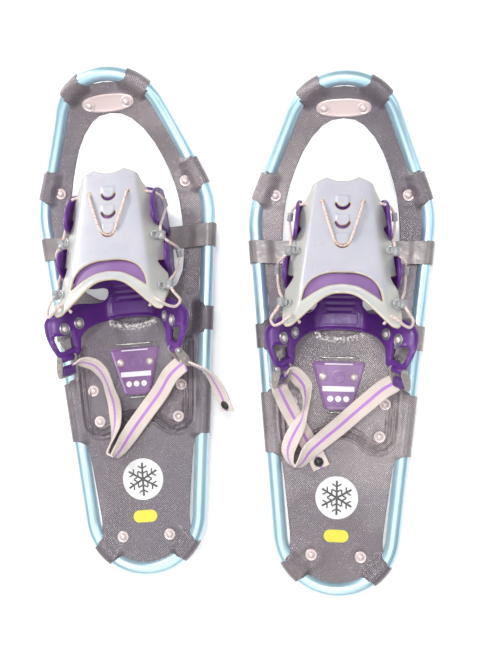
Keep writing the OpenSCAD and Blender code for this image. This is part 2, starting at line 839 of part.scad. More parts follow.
// Rows of [place, direction across]; one strap folds back from each shoe's outer buckle
LEFT_STRAP = [[[-47, -132.2, 47.6], [0.73, 0.32, 0.6]], [[-42, -132.5, 44], [0.67, 0.41, 0.62]],
              [[-35, -136, 39], [0.58, 0.48, 0.66]],
              [[-29.5, -144, 33], [0.51, 0.5, 0.7]], [[-26.5, -153, 28], [0.5, 0.43, 0.75]],
              [[-24.5, -165, 22.5], [0.6, 0.37, 0.71]], [[-23, -177, 17.5], [0.77, 0.27, 0.58]],
              [[-23, -189, 14.5], [0.82, 0.18, 0.54]], [[-24, -201, 13.5], [0.74, 0.18, 0.64]],
              [[-27, -213, 14], [0.48, 0.12, 0.87]], [[-30.5, -223, 14.5], [0.2, 0.03, 0.98]],
              [[-32, -231, 14.5], [0, 0.1, 1]], [[-27, -236, 14.5], [-0.1, 0.3, 0.95]],
              [[-20, -228, 13.5], [-0.25, 0.6, 0.75]], [[-12, -217, 12], [-0.58, 0.62, 0.52]],
              [[-4, -207, 12.5], [-0.67, 0.69, 0.29]], [[13, -188, 16], [-0.7, 0.71, 0.1]],
              [[30, -170, 23], [-0.73, 0.69, 0]], [[44, -153, 32], [-0.8, 0.59, -0.09]],
              [[51.8, -147.6, 37.7], [-0.76, 0.6, -0.25]]];
LEFT_TAIL = [[[77, -146, 55.5], [0.3, 0, 0.95]], [[85, -151, 49.5], [0.28, 0.05, 0.96]],
             [[89.5, -157, 44], [0.4, 0.18, 0.9]], [[94, -167, 38], [0.53, 0.26, 0.8]],
             [[98.5, -181, 31], [0.6, 0.34, 0.73]], [[102, -195, 26], [0.61, 0.3, 0.74]]];
RIGHT_STRAP = [[[-48, -132, 44], [0.38, 0.6, 0.7]], [[-41, -138, 38], [0.33, 0.66, 0.67]],
               [[-36, -145, 33], [0.32, 0.68, 0.66]], [[-34, -154, 30], [0.32, 0.52, 0.78]],
               [[-34, -165, 27.5], [0.29, 0.27, 0.92]], [[-36, -176, 24], [0.35, 0.02, 0.94]],
               [[-39, -184, 19], [0.58, -0.22, 0.79]], [[-43.5, -192, 15], [0.76, -0.28, 0.58]],
               [[-48.5, -202, 13], [0.84, -0.25, 0.48]], [[-51.5, -211, 13.5], [0.8, -0.17, 0.57]],
               [[-51.5, -219, 14.5], [0.62, -0.07, 0.78]], [[-49, -226.5, 14.5], [0.36, 0.07, 0.93]],
               [[-44.5, -231, 14.5], [0.08, 0.17, 0.98]], [[-37.5, -226, 13.5], [-0.22, 0.55, 0.8]],
               [[-29.5, -214.5, 12.5], [-0.5, 0.7, 0.5]], [[-15, -201, 12.5], [-0.61, 0.75, 0.25]],
               [[1, -187, 15], [-0.68, 0.72, 0.1]], [[17, -172, 20], [-0.67, 0.74, 0]],
               [[32, -158, 28], [-0.63, 0.77, -0.05]], [[44, -147, 36], [-0.55, 0.8, -0.2]]];
RIGHT_TAIL = [[[-58, -154.5, 37.7], [0.75, 0.38, 0.54]], [[-56, -159.5, 31], [0.77, 0.43, 0.48]],
              [[-52, -168.5, 22], [0.78, 0.57, 0.25]], [[-45, -182, 11], [0.76, 0.64, 0.12]],
              [[-37, -196, 6], [0.72, 0.69, 0]], [[-29, -209, 5], [0.75, 0.66, 0]],
              [[-22, -221, 5], [0.79, 0.62, 0]], [[-16.5, -232, 5], [0.81, 0.59, 0]]];

module strap_run(rows) {
    swept_band([for (r = rows) r[0]], [for (r = rows) r[1]], heel_strap_w, heel_strap_t);
}

module heel_strap(rows, tail) {
    strap_run(rows);
    strap_run(tail);
}

module strap_snap(tail) {
    end = tail[len(tail) - 1];
    d = unit(end[0] - tail[len(tail) - 2][0]);
    n = unit(cross(end[1], d));
    up = n[2] < 0 ? -n : n;
    seat = end[0] - 7 * d;
    rod(seat + up * (heel_strap_t / 2 + 0.1), seat + up * (heel_strap_t / 2 + 3.2), 5);
}

// --- One shoe ---

module shoe_part(name, left) {
    outer = left ? 0 : 1;
    strap = left ? LEFT_STRAP : RIGHT_STRAP;
    tail = left ? LEFT_TAIL : RIGHT_TAIL;
    turns = left ? LEFT_TURNS : RIGHT_TURNS;
    if (name == "frame_tube") color(frame_blue) frame_tube();
    if (name == "deck") color(deck_grey) deck();
    if (name == "nose_plate") color(steel) nose_plate();
    if (name == "nose_rivets") color(steel) nose_rivets();
    if (name == "deck_rivets") color(steel) deck_rivets();
    if (name == "heel_plate") color(violet) heel_plate();
    if (name == "heel_plate_rivets") color(steel) heel_plate_rivets();
    if (name == "plate_bars") color(steel) plate_bars();
    if (name == "heel_crampon") color(steel) heel_crampon();
    if (name == "strap_ends") color(deck_grey) strap_ends();
    if (name == "strap_centre") color(deck_grey) strap_centre();
    if (name == "binding_base") color(plum) binding_base();
    if (name == "toe_crampon") color(steel) toe_crampon();
    if (name == "crampon_bolts") color(steel) crampon_bolts();
    if (name == "wing_rivets") color(steel) wing_rivets();
    if (name == "wing_washers") color(taupe) wing_washers();
    if (name == "wing_clips") color(taupe) wing_clips();
    if (name == "top_cover") color(milk) top_cover();
    if (name == "inner_tongue") color(violet) inner_tongue();
    if (name == "lace") color(webbing) lace();
    if (name == "cord_guides") color(taupe) cord_guides();
    if (name == "cord_ferrules") color(taupe) cord_ferrules();
    if (name == "heel_strap") color(webbing) heel_strap(strap, tail);
    if (name == "strap_snap") color("black") strap_snap(tail);
    if (name == "adjuster_buckle") color(taupe) mirror([outer, 0, 0]) buckle(turns[0]);
    if (name == "adjuster_lever") color(plum) mirror([outer, 0, 0]) lever(turns[0], 1);
    if (name == "anchor_buckle") color(taupe) mirror([1 - outer, 0, 0]) buckle(turns[1]);
    if (name == "anchor_lever") color(plum) mirror([1 - outer, 0, 0]) lever(turns[1], -1);
    if (name == "buckle_pins") color(steel) buckle_pins();
}

module left_shoe(name) {
    translate(left_at) rotate([0, 0, left_yaw]) shoe_part(name, true);
}

module right_shoe(name) {
    translate(right_at) rotate([0, 0, right_yaw]) shoe_part(name, false);
}

for (name = PARTS) {
    left_shoe(name);
    right_shoe(name);
}
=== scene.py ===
"""Looks of a pair of snowshoes. Every piece is built in millimetres about its own shoe's centre (+Y to the
toe, z = 0 at the tube's centre plane, y = 0 on the hinge strap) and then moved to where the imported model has
that shoe. Flat-pattern places are (x, s), with s along the shoe before its nose is rolled up."""
import json
import math

import bpy
import numpy as np
from mathutils import Matrix, Vector
from mathutils.geometry import delaunay_2d_cdt


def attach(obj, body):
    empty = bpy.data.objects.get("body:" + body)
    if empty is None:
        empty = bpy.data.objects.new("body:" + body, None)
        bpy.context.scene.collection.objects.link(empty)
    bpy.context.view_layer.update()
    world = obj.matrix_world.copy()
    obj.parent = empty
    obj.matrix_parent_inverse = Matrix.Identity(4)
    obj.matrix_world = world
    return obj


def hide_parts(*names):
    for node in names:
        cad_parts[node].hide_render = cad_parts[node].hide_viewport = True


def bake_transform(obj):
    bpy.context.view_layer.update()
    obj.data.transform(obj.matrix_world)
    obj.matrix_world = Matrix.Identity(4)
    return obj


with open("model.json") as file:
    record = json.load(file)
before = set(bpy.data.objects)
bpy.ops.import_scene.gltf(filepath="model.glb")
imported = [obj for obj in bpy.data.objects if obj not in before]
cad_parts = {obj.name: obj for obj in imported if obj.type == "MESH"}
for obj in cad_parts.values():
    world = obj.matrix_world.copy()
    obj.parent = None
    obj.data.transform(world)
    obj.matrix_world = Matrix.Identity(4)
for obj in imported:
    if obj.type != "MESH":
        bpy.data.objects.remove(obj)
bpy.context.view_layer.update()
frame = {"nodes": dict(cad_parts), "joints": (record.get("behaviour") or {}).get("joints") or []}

SIDES = ("left", "right")
MM = 0.001
UV_MM = 100.0          # millimetres to one unit of the UV map


# ---------------------------------------------------------------- curves and outlines

def unit(v):
    v = np.asarray(v, float)
    return v / np.maximum(np.linalg.norm(v, axis=-1, keepdims=True), 1e-12)


def mirrored(points):
    """The same points on the other side of the shoe, in reverse order."""
    p = np.array(points, float)[::-1]
    p[:, 0] *= -1
    return p


def whole(half):
    """A closed outline from its right half, whose first and last points lie on the centre line."""
    return np.vstack([half, mirrored(half)[1:-1]])


def curve(points, step, closed=False):
    """A smooth curve through points, with about step between its own points."""
    p = np.array(points, float)
    after = np.roll(p, -1, 0) if closed else np.vstack([p[1:], 2 * p[-1] - p[-2]])
    before = np.roll(p, 1, 0) if closed else np.vstack([2 * p[0] - p[1], p[:-1]])
    h1 = np.linalg.norm(after - p, axis=1)[:, None]
    h0 = np.linalg.norm(p - before, axis=1)[:, None]
    slope = ((after - p) / h1 * h0 + (p - before) / h0 * h1) / (h0 + h1)
    out = []
    for i in range(len(p) if closed else len(p) - 1):
        j = (i + 1) % len(p)
        h = h1[i, 0]
        t = np.arange(max(1, round(h / step)))[:, None] / max(1, round(h / step))
        out.append((2 * t**3 - 3 * t**2 + 1) * p[i] + (t**3 - 2 * t**2 + t) * h * slope[i]
                   + (3 * t**2 - 2 * t**3) * p[j] + (t**3 - t**2) * h * slope[j])
    if not closed:
        out.append(p[-1:])
    return np.vstack(out)


def rounded(points, cut, steps=5):
    """A closed outline with each corner rounded off over a distance cut."""
    p = np.array(points, float)
    out = []
    for i in range(len(p)):
        a, b, c = p[i - 1], p[i], p[(i + 1) % len(p)]
        d = min(cut, 0.45 * np.linalg.norm(a - b), 0.45 * np.linalg.norm(c - b))
        start, end = b + unit(a - b) * d, b + unit(c - b) * d
        for t in np.linspace(0, 1, steps):
            out.append((1 - t) ** 2 * start + 2 * t * (1 - t) * b + t * t * end)
    return np.array(out)


def running(p, closed=False):
    """How far along a line each of its points is."""
    q = np.vstack([p, p[:1]]) if closed else p
    return np.concatenate([[0], np.cumsum(np.linalg.norm(np.diff(q, axis=0), axis=1))])


def spaced(points, step, closed=True):
    """The same line with points an even distance apart."""
    p = np.array(points, float)
    if closed:
        p = np.vstack([p, p[:1]])
    length = running(p)
    count = max(6 if closed else 2, int(round(length[-1] / step)) + (0 if closed else 1))
    at = np.linspace(0, length[-1], count, endpoint=not closed)
    return np.stack([np.interp(at, length, p[:, k]) for k in range(p.shape[1])], 1)


def area(p):
    """Signed area inside a closed outline, positive when it runs anticlockwise."""
    return 0.5 * np.sum(p[:, 0] * np.roll(p[:, 1], -1) - np.roll(p[:, 0], -1) * p[:, 1])


def inside(xy, loop):
    """Which points lie inside a closed outline."""
    hit = np.zeros(len(xy), bool)
    a, b = loop, np.roll(loop, -1, 0)
    for (x0, y0), (x1, y1) in zip(a, b):
        if y0 == y1:
            continue
        crosses = (xy[:, 1] > min(y0, y1)) & (xy[:, 1] <= max(y0, y1))
        hit ^= crosses & (xy[:, 0] < x0 + (xy[:, 1] - y0) * (x1 - x0) / (y1 - y0))
    return hit


def to_line(xy, line, closed=False):
    """Distance of each point from a line, and how far along the line its nearest place is."""
    line = np.vstack([line, line[:1]]) if closed else np.asarray(line, float)
    best = np.full(len(xy), 1e9)
    where = np.zeros(len(xy))
    run = 0.0
    for a, b in zip(line[:-1], line[1:]):
        d = b - a
        length = np.linalg.norm(d)
        if length < 1e-9:
            continue
        t = np.clip(((xy - a) @ d) / length**2, 0, 1)
        gap = np.linalg.norm(xy - a - t[:, None] * d, axis=1)
        closer = gap < best
        best[closer] = gap[closer]
        where[closer] = run + t[closer] * length
        run += length
    return best, where


# ---------------------------------------------------------------- solids as arrays

class Part:
    """Corners, faces and UVs of a piece while it is being made."""

    def __init__(self, v, faces, uvs):
        self.v = np.asarray(v, float)
        self.faces = faces
        self.uvs = uvs

    def moved(self, matrix):
        m = np.array(matrix)
        return Part(self.v @ m[:3, :3].T + m[:3, 3], self.faces, self.uvs)

    def mirror(self):
        return Part(self.v * [-1, 1, 1], [f[::-1] for f in self.faces], [u[::-1] for u in self.uvs])

    def both(self):
        return joined([self, self.mirror()])


def joined(parts):
    """Several pieces as one."""
    faces, uvs, base = [], [], 0
    for p in parts:
        faces += [[base + k for k in f] for f in p.faces]
        uvs += p.uvs
        base += len(p.v)
    return Part(np.vstack([p.v for p in parts]), faces, uvs)


def frame_at(o, x, y):
    """Matrix that puts flat work at o, with its x along x and its y towards y."""
    x = unit(x)
    n = unit(np.cross(x, y))
    m = np.eye(4)
    m[:3, 0], m[:3, 1], m[:3, 2], m[:3, 3] = x, np.cross(n, x), n, o
    return m


def axis_frame(o, axis, near):
    """Matrix that stands turned work at o, with its axis along axis."""
    across = np.cross(axis, near)
    return frame_at(o, across, np.cross(axis, across))


def flat(z):
    """A level surface for a shell."""
    return lambda x, y: np.stack([x, y, np.full_like(x, z)], 1)


def from_rim(x, y, loop):
    """Distance of places from a closed outline."""
    return to_line(np.stack([x, y], 1), loop, True)[0]


def within(xy, loops):
    """Which points lie inside the first outline and outside the others."""
    hit = inside(xy, loops[0])
    for hole in loops[1:]:
        hit &= ~inside(xy, hole)
    return hit


RIM_STEPS = 3          # faces round each quarter of a rim
ROW_GAP = 0.866        # height of a triangle whose sides are 1
RIM_CLEAR = 0.6        # how near the rims, in cells, inner points may come
TINY = 0.02            # step for slopes, in millimetres


def shell(outer, place, t, holes=(), edge=0.5, cell=2.0, rim_shift=0.0):
    """A sheet of thickness t under the surface place(x, y), with rounded rims and with holes.
    rim_shift moves the rims' UVs sideways, so that a material can tell them from the faces."""
    loops = []
    for i, loop in enumerate([outer, *holes]):
        p = spaced(loop, cell)
        loops.append(p if (area(p) > 0) == (i == 0) else p[::-1])
    rim = np.vstack(loops)
    lo, hi = loops[0].min(0), loops[0].max(0)
    gx, gy = np.meshgrid(np.arange(lo[0], hi[0], cell), np.arange(lo[1], hi[1], cell * ROW_GAP))
    gx[1::2] += cell / 2
    grid = np.stack([gx.ravel(), gy.ravel()], 1)
    grid = grid[within(grid, loops)]
    near = np.zeros(len(grid), bool)
    for loop in loops:
        near |= from_rim(*grid.T, loop) < RIM_CLEAR * cell
    grid = grid[~near]
    xy = np.vstack([rim, grid])
    edges, base = [], 0
    for loop in loops:
        edges += [(base + k, base + (k + 1) % len(loop)) for k in range(len(loop))]
        base += len(loop)
    _, _, tris, origin, _, _ = delaunay_2d_cdt([Vector(p) for p in xy], edges, [], 0, 1e-5)
    at = np.array([o[0] if o else -1 for o in origin])
    tris = at[np.array([f for f in tris if len(f) == 3])]
    tris = tris[(tris >= 0).all(1)]
    tris = tris[within(xy[tris].mean(1), loops)]
    turn = np.cross(xy[tris[:, 1]] - xy[tris[:, 0]], xy[tris[:, 2]] - xy[tris[:, 0]])
    tris[turn < 0] = tris[turn < 0][:, ::-1]

    e = TINY
    x, y = xy.T
    top = place(x, y)
    normal = unit(np.cross(place(x + e, y) - place(x - e, y), place(x, y + e) - place(x, y - e)))
    count = len(rim)
    out2 = np.vstack([np.roll(p, -1, 0) - np.roll(p, 1, 0) for p in loops])
    out2 = unit(np.stack([out2[:, 1], -out2[:, 0]], 1))
    out3 = unit(place(x[:count] + e * out2[:, 0], y[:count] + e * out2[:, 1]) - top[:count])
    r = min(edge, t / 2)
    rim_top = top[:count] - out3 * r
    n = normal[:count]
    low = top - normal * t
    low[:count] = rim_top - n * t
    quarter = [math.pi / 2 * k / RIM_STEPS for k in range(RIM_STEPS + 1)]
    rings = [rim_top - n * r + r * (out3 * math.sin(a) + n * math.cos(a)) for a in quarter[1:]]
    rings += [rim_top - n * (t - r) + r * (out3 * math.cos(a) - n * math.sin(a)) for a in quarter[:-1]]
    top[:count] = rim_top
    total = len(xy)
    v = np.vstack([top, low, *rings])
    flat_uv = xy / UV_MM
    faces = [list(f) for f in tris] + [[total + k for k in f[::-1]] for f in tris]
    corner = [[tuple(flat_uv[k]) for k in f] for f in tris]
    corner += [c[::-1] for c in corner]
    levels = [0] + [2 * total + k * count for k in range(len(rings))] + [total]
    for a, b in zip(levels[:-1], levels[1:]):
        base = 0
        for loop in loops:
            m = len(loop)
            for k in range(m):
                i, j = base + k, base + (k + 1) % m
                faces.append([a + j, a + i, b + i, b + j])
                ui, uj = flat_uv[i] + (rim_shift, 0), flat_uv[j] + (rim_shift, 0)
                corner.append([tuple(uj), tuple(ui), tuple(ui), tuple(uj)])
            base += m
    return Part(v, faces, corner)


def grid_part(rings, u, w, closed=False):
    """A skin over rings of points; u is the place round the ring and w along the path, in millimetres."""
    n, m = rings.shape[:2]
    u, w = np.array(u) / UV_MM, np.array(w) / UV_MM
    faces, uvs = [], []
    for i in range(n if closed else n - 1):
        for k in range(m):
            j, q = (i + 1) % n, (k + 1) % m
            faces.append([i * m + k, i * m + q, j * m + q, j * m + k])
            uvs.append([(u[k], w[i]), (u[k + 1], w[i]), (u[k + 1], w[i + 1]), (u[k], w[i + 1])])
    if not closed:
        for ring in (range(m - 1, -1, -1), range((n - 1) * m, n * m)):
            faces.append(list(ring))
            uvs.append([(0.0, 0.0)] * m)
    return Part(rings.reshape(-1, 3), faces, uvs)


def headings(p, closed=False):
    """The direction of a line at each of its points."""
    if closed:
        return unit(np.roll(p, -1, 0) - np.roll(p, 1, 0))
    return unit(np.vstack([p[1] - p[0], p[2:] - p[:-2], p[-1] - p[-2]]))


def rings_along(path, section, side, up):
    """A section of (side, up) points set at each point of a path."""
    return path[:, None] + section[None, :, :1] * side[:, None] + section[None, :, 1:] * up[:, None]


def swept(path, section, up, closed=False):
    """A section swept along a path; up is the section's upward direction at each point."""
    t = headings(path, closed)
    side = unit(np.cross(t, up))
    rings = rings_along(path, section, side, np.cross(side, t))
    return grid_part(rings, running(section, True), running(path, closed), closed)


def circle(r, sides):
    """A round section."""
    a = 2 * math.pi * np.arange(sides) / sides
    return r * np.stack([np.cos(a), np.sin(a)], 1)


def carried(path, start):
    """An up direction carried along a path without twisting."""
    out = []
    up = np.array(start, float)
    for t in headings(path):
        up = unit(up - (up @ t) * t)
        out.append(up)
    return np.array(out)


LATHE_UV_R = 5.0       # radius at which a turned piece's UVs are true to size


def lathe(profile, sides=40):
    """A turned piece from (radius, height) points, its axis along z."""
    p = np.array(profile, float)
    a = 2 * math.pi * np.arange(sides) / sides
    rings = np.stack([np.outer(p[:, 0], np.cos(a)), np.outer(p[:, 0], np.sin(a)),
                      np.repeat(p[:, 1:], sides, 1)], 2)
    return grid_part(rings, np.append(a, 2 * math.pi) * LATHE_UV_R, running(p))


def smoothstep(a, b, x):
    t = np.clip((x - a) / (b - a), 0, 1)
    return t * t * (3 - 2 * t)


# ---------------------------------------------------------------- materials

class Shader:
    """A node material and short ways to add to it. Values are numbers, colours or other nodes' outputs."""

    def __init__(self, name, color, rough, metal=0.0, **sockets):
        self.m = bpy.data.materials.new(name)
        self.m.use_nodes = True
        self.tree = self.m.node_tree
        self.bsdf = self.tree.nodes["Principled BSDF"]
        self.set("Base Color", (*color, 1))
        self.set("Roughness", rough)
        self.set("Metallic", metal)
        for key, value in sockets.items():
            self.set(key.replace("_", " "), value)
        self.coord = self.tree.nodes.new("ShaderNodeTexCoord")

    def set(self, socket, value):
        s = self.bsdf.inputs[socket]
        if hasattr(value, "is_output"):
            self.tree.links.new(value, s)
        else:
            s.default_value = value

    def node(self, kind, inputs=(), out=0, **props):
        n = self.tree.nodes.new("ShaderNode" + kind)
        for key, value in props.items():
            setattr(n, key, value)
        for key, value in dict(inputs).items():
            if hasattr(value, "is_output"):
                self.tree.links.new(value, n.inputs[key])
            else:
                n.inputs[key].default_value = value
        return n.outputs[out]

    def scaled(self, space, scale):
        return self.node("Mapping", {0: self.coord.outputs[space], "Scale": scale})

    def noise(self, scale, detail, where=None):
        where = where or self.coord.outputs["Object"]
        return self.node("TexNoise", {"Vector": where, "Scale": scale, "Detail": detail}, "Fac")

    def ramp(self, fac, *stops):
        n = self.tree.nodes.new("ShaderNodeValToRGB")
        self.tree.links.new(fac, n.inputs[0])
        while len(n.color_ramp.elements) < len(stops):
            n.color_ramp.elements.new(0.5)
        for e, (at, value) in zip(n.color_ramp.elements, stops):
            e.position = at
            e.color = (value, value, value, 1) if isinstance(value, (int, float)) else (*value, 1)
        return n.outputs[0]

    def cloud(self, scale, detail, low=0.3, high=0.75):
        """Noise stretched to run from 0 to 1."""
        return self.ramp(self.noise(scale, detail), (low, 0.0), (high, 1.0))

    def mix(self, fac, a, b):
        n = self.tree.nodes.new("ShaderNodeMix")
        n.data_type = "RGBA"
        for socket, value in ((n.inputs[0], fac), (n.inputs[6], a), (n.inputs[7], b)):
            if hasattr(value, "is_output"):
                self.tree.links.new(value, socket)
            else:
                socket.default_value = value if isinstance(value, (int, float)) else (*value, 1)
        return n.outputs[2]

    def math(self, op, a, b=0.0, c=0.0):
        return self.node("Math", {0: a, 1: b, 2: c}, operation=op)

    def gap(self, a, b):
        """How far apart two values are."""
        return self.math("ABSOLUTE", self.math("SUBTRACT", a, b))

    def xy(self):
        """The two UV coordinates."""
        n = self.tree.nodes.new("ShaderNodeSeparateXYZ")
        self.tree.links.new(self.coord.outputs["UV"], n.inputs[0])
        return n.outputs[0], n.outputs[1]

    def waves(self, value, pitch):
        """Sine ridges, 0 to 1, one each pitch millimetres of a UV direction."""
        turned = self.math("MULTIPLY", value, 2 * math.pi * UV_MM / pitch)
        return self.math("MULTIPLY_ADD", self.math("SINE", turned), 0.5, 0.5)

    def bump(self, height, distance, strength=1.0, normal=None, socket="Normal"):
        inputs = {"Height": height, "Distance": distance * MM, "Strength": strength}
        if normal is not None:
            inputs["Normal"] = normal
        out = self.node("Bump", inputs)
        self.set(socket, out)
        return out


def tube_paint():
    """Pale blue satin metal, faintly streaked along the tube."""
    s = Shader("tube_paint", (0.5, 0.73, 0.84), 0.34, 0.7, Coat_Weight=0.35, Coat_Roughness=0.25)
    streak = s.noise(9, 2, s.scaled("UV", (0.6, 0.1, 1)))
    streak = s.ramp(streak, (0.3, 0.0), (0.75, 1.0))
    s.set("Base Color", s.mix(streak, (0.45, 0.69, 0.81), (0.61, 0.81, 0.90)))
    s.set("Roughness", s.ramp(s.noise(90, 3), (0.35, 0.31), (0.72, 0.38)))
    return s.m


def woven(s, pitch, strength, depth):
    """Diagonal twill: one strong set of ridges with a faint set across it."""
    x, y = s.xy()
    right = s.waves(s.math("ADD", x, y), pitch)
    left = s.waves(s.math("SUBTRACT", x, y), pitch * 0.9)
    cloth = s.math("MULTIPLY_ADD", left, 0.4, s.math("MULTIPLY", right, 0.8))
    base = s.bump(s.noise(24, 2), 1.1, 0.38)
    s.bump(cloth, depth * 0.4, strength, base, "Coat Normal")
    s.bump(cloth, depth, strength, base)
    return cloth


def either(s, *masks):
    out = masks[0]
    for m in masks[1:]:
        out = s.math("MAXIMUM", out, m)
    return out


def block(s, x, y, centre, half):
    """Mask of an upright rectangle in UV units."""
    in_x = s.math("LESS_THAN", s.gap(x, centre[0]), half[0])
    in_y = s.math("LESS_THAN", s.gap(y, centre[1]), half[1])
    return s.math("MULTIPLY", in_x, in_y)


def reach(s, x, y, centre, half=0.0):
    """Distance from a level line of half length half, in UV units."""
    past = s.math("MAXIMUM", s.math("SUBTRACT", s.gap(x, centre[0]), half), 0.0)
    up = s.math("SUBTRACT", y, centre[1])
    return s.math("SQRT", s.math("MULTIPLY_ADD", past, past, s.math("MULTIPLY", up, up)))


# A snowflake's arm and twigs, as shares of its size
ARM_LENGTH, ARM_HALF = 0.9, 0.055
TWIGS_AT, TWIG_REACH, TWIG_HALF = (0.3, 0.58), 0.24, 0.04


def snowflake(s, x, y, centre, size):
    """Mask of a plain six-armed flake with two pairs of twigs on each arm."""
    up = s.math("SUBTRACT", y, centre[1])
    r = reach(s, x, y, centre)
    sixth = s.math("PINGPONG", s.math("ARCTAN2", up, x), math.pi / 6)
    turn = s.math("SUBTRACT", math.pi / 6, sixth)
    along = s.math("MULTIPLY", r, s.math("COSINE", turn))
    out = s.math("MULTIPLY", r, s.math("SINE", turn))
    arm = s.math("LESS_THAN", along, ARM_LENGTH * size)
    masks = [s.math("MULTIPLY", s.math("LESS_THAN", out, ARM_HALF * size), arm)]
    for start in TWIGS_AT:
        ahead = s.math("SUBTRACT", along, start * size)
        off = s.gap(s.math("MULTIPLY", ahead, math.sin(math.pi / 3)), s.math("MULTIPLY", out, 0.5))
        twig = s.math("LESS_THAN", out, TWIG_REACH * size)
        masks.append(s.math("MULTIPLY", s.math("LESS_THAN", off, TWIG_HALF * size), twig))
    return either(s, *masks)


# Prints on the deck, in UV units
PRINT_DISC, PRINT_R, FLAKE_SIZE = (0.0, -2.63), 0.225, 0.2
PRINT_BAR, BAR_HALF = (0.0, -3.03), 0.065
DECK_METAL = 0.36


def deck_cloth():
    """Coated twill with painted shade in its valleys, painted glints on its ridges and pale specks painted as
    highlight along the pressed lip, with a printed snowflake disc and a yellow bar near the tail.
    """
    s = Shader("deck_cloth", (0.20, 0.17, 0.18), 0.3, DECK_METAL, Coat_Weight=0.75, Coat_Roughness=0.17,
               Specular_IOR_Level=0.7)
    cloth = woven(s, 2.4, 0.9, 0.34)
    x, y = s.xy()
    ridge = s.math("POWER", cloth, 1.6)
    # patches where painted glints fall on the twill's ridges
    painted_glint = s.cloud(8, 2, 0.52, 0.7)
    cloud = s.cloud(11, 2, 0.35, 0.65)
    # painted shade: the twill's valleys are darker and its ridges lighter, following its bump, over the
    # cloth's own cloudy tone
    valley_shade = s.mix(cloud, (0.078, 0.065, 0.082), (0.096, 0.078, 0.09))
    body = s.mix(ridge, valley_shade, s.mix(cloud, (0.235, 0.195, 0.235), (0.265, 0.213, 0.23)))
    # painted glints: the ridges lightened towards a pale warm colour in those patches, standing in for
    # highlights
    body = s.mix(s.math("MULTIPLY", ridge, s.math("MULTIPLY", painted_glint, 0.45)), body, (0.85, 0.76, 0.74))
    # painted highlight: pale specks along the shallow arc of the lip pressed into the deck in front of the
    # heel plate
    lip_highlight_specks = s.gap(s.math("MULTIPLY", s.math("MULTIPLY", x, x), 0.9), s.math("ADD", y, 0.945))
    lip_highlight_specks = s.ramp(lip_highlight_specks, (0.02, 1.0), (0.05, 0.0))
    lip_highlight_specks = s.math("MULTIPLY", lip_highlight_specks, s.math("LESS_THAN", s.gap(x, 0.0), 0.27))
    lip_highlight_specks = s.math("MULTIPLY", lip_highlight_specks, s.cloud(420, 3, 0.42, 0.56))
    body = s.mix(lip_highlight_specks, body, (0.86, 0.80, 0.77))
    disc = s.math("LESS_THAN", reach(s, x, y, PRINT_DISC), PRINT_R)
    body = s.mix(disc, body, (0.80, 0.80, 0.80))
    body = s.mix(snowflake(s, x, y, PRINT_DISC, FLAKE_SIZE), body, (0.03, 0.03, 0.035))
    bar = s.math("LESS_THAN", reach(s, x, y, PRINT_BAR, BAR_HALF), BAR_HALF)
    body = s.mix(bar, body, (0.80, 0.72, 0.02))
    s.set("Base Color", body)
    s.set("Metallic", s.math("MULTIPLY", s.math("SUBTRACT", 1.0, s.math("MAXIMUM", disc, bar)), DECK_METAL))
    s.set("Roughness", s.ramp(s.noise(60, 4), (0.3, 0.2), (0.75, 0.34)))
    return s.m


# Prints on the heel plate, in UV units: centre and half size of the bars, centres of the dots
HEEL_BARS = [((0.0, -1.478), (0.17, 0.027)), ((0.0, -1.212), (0.15, 0.006))]
HEEL_DOTS, DOT_R = [(-0.085, -1.585), (0.0, -1.585), (0.085, -1.585)], 0.032


def heel_gloss():
    """Glossy moulded plate with a plain white band, three dots and a thin line printed on it."""
    s = moulded("heel_gloss", (0.19, 0.075, 0.25), (0.29, 0.14, 0.34), 0.34, coat=0.3)
    x, y = s.xy()
    body = s.bsdf.inputs["Base Color"].links[0].from_socket
    dots = [s.math("LESS_THAN", reach(s, x, y, centre), DOT_R) for centre in HEEL_DOTS]
    bars = [block(s, x, y, centre, half) for centre, half in HEEL_BARS]
    marks = either(s, *bars, *dots)
    s.set("Base Color", s.mix(marks, body, (0.85, 0.84, 0.85)))
    return s.m


def moulded(name, dark, light, rough, coat=0.15):
    """Moulded plastic clouded between two colours, with a fine grain."""
    s = Shader(name, dark, rough, 0.0, Coat_Weight=coat, Coat_Roughness=0.3, Specular_IOR_Level=0.5)
    s.set("Base Color", s.mix(s.cloud(35, 4), dark, light))
    s.set("Roughness", s.ramp(s.noise(220, 5), (0.3, rough - 0.08), (0.75, rough + 0.12)))
    s.bump(s.noise(1400, 2), 0.05, 0.6)
    return s


def metal(name, color, rough, streaks=(1, 1, 1), tint=None, metal_share=0.9):
    """Worn metal between a colour and a darker tint, its noise stretched by streaks."""
    s = Shader(name, color, rough, metal_share)
    n = s.noise(500, 5, s.scaled("Object", streaks))
    tint = tint or tuple(c * 0.72 for c in color)
    s.set("Base Color", s.mix(s.ramp(n, (0.3, 0.0), (0.8, 1.0)), color, tint))
    s.set("Roughness", s.ramp(n, (0.3, rough - 0.08), (0.8, rough + 0.14)))
    s.bump(n, 0.03, 0.4)
    return s.m


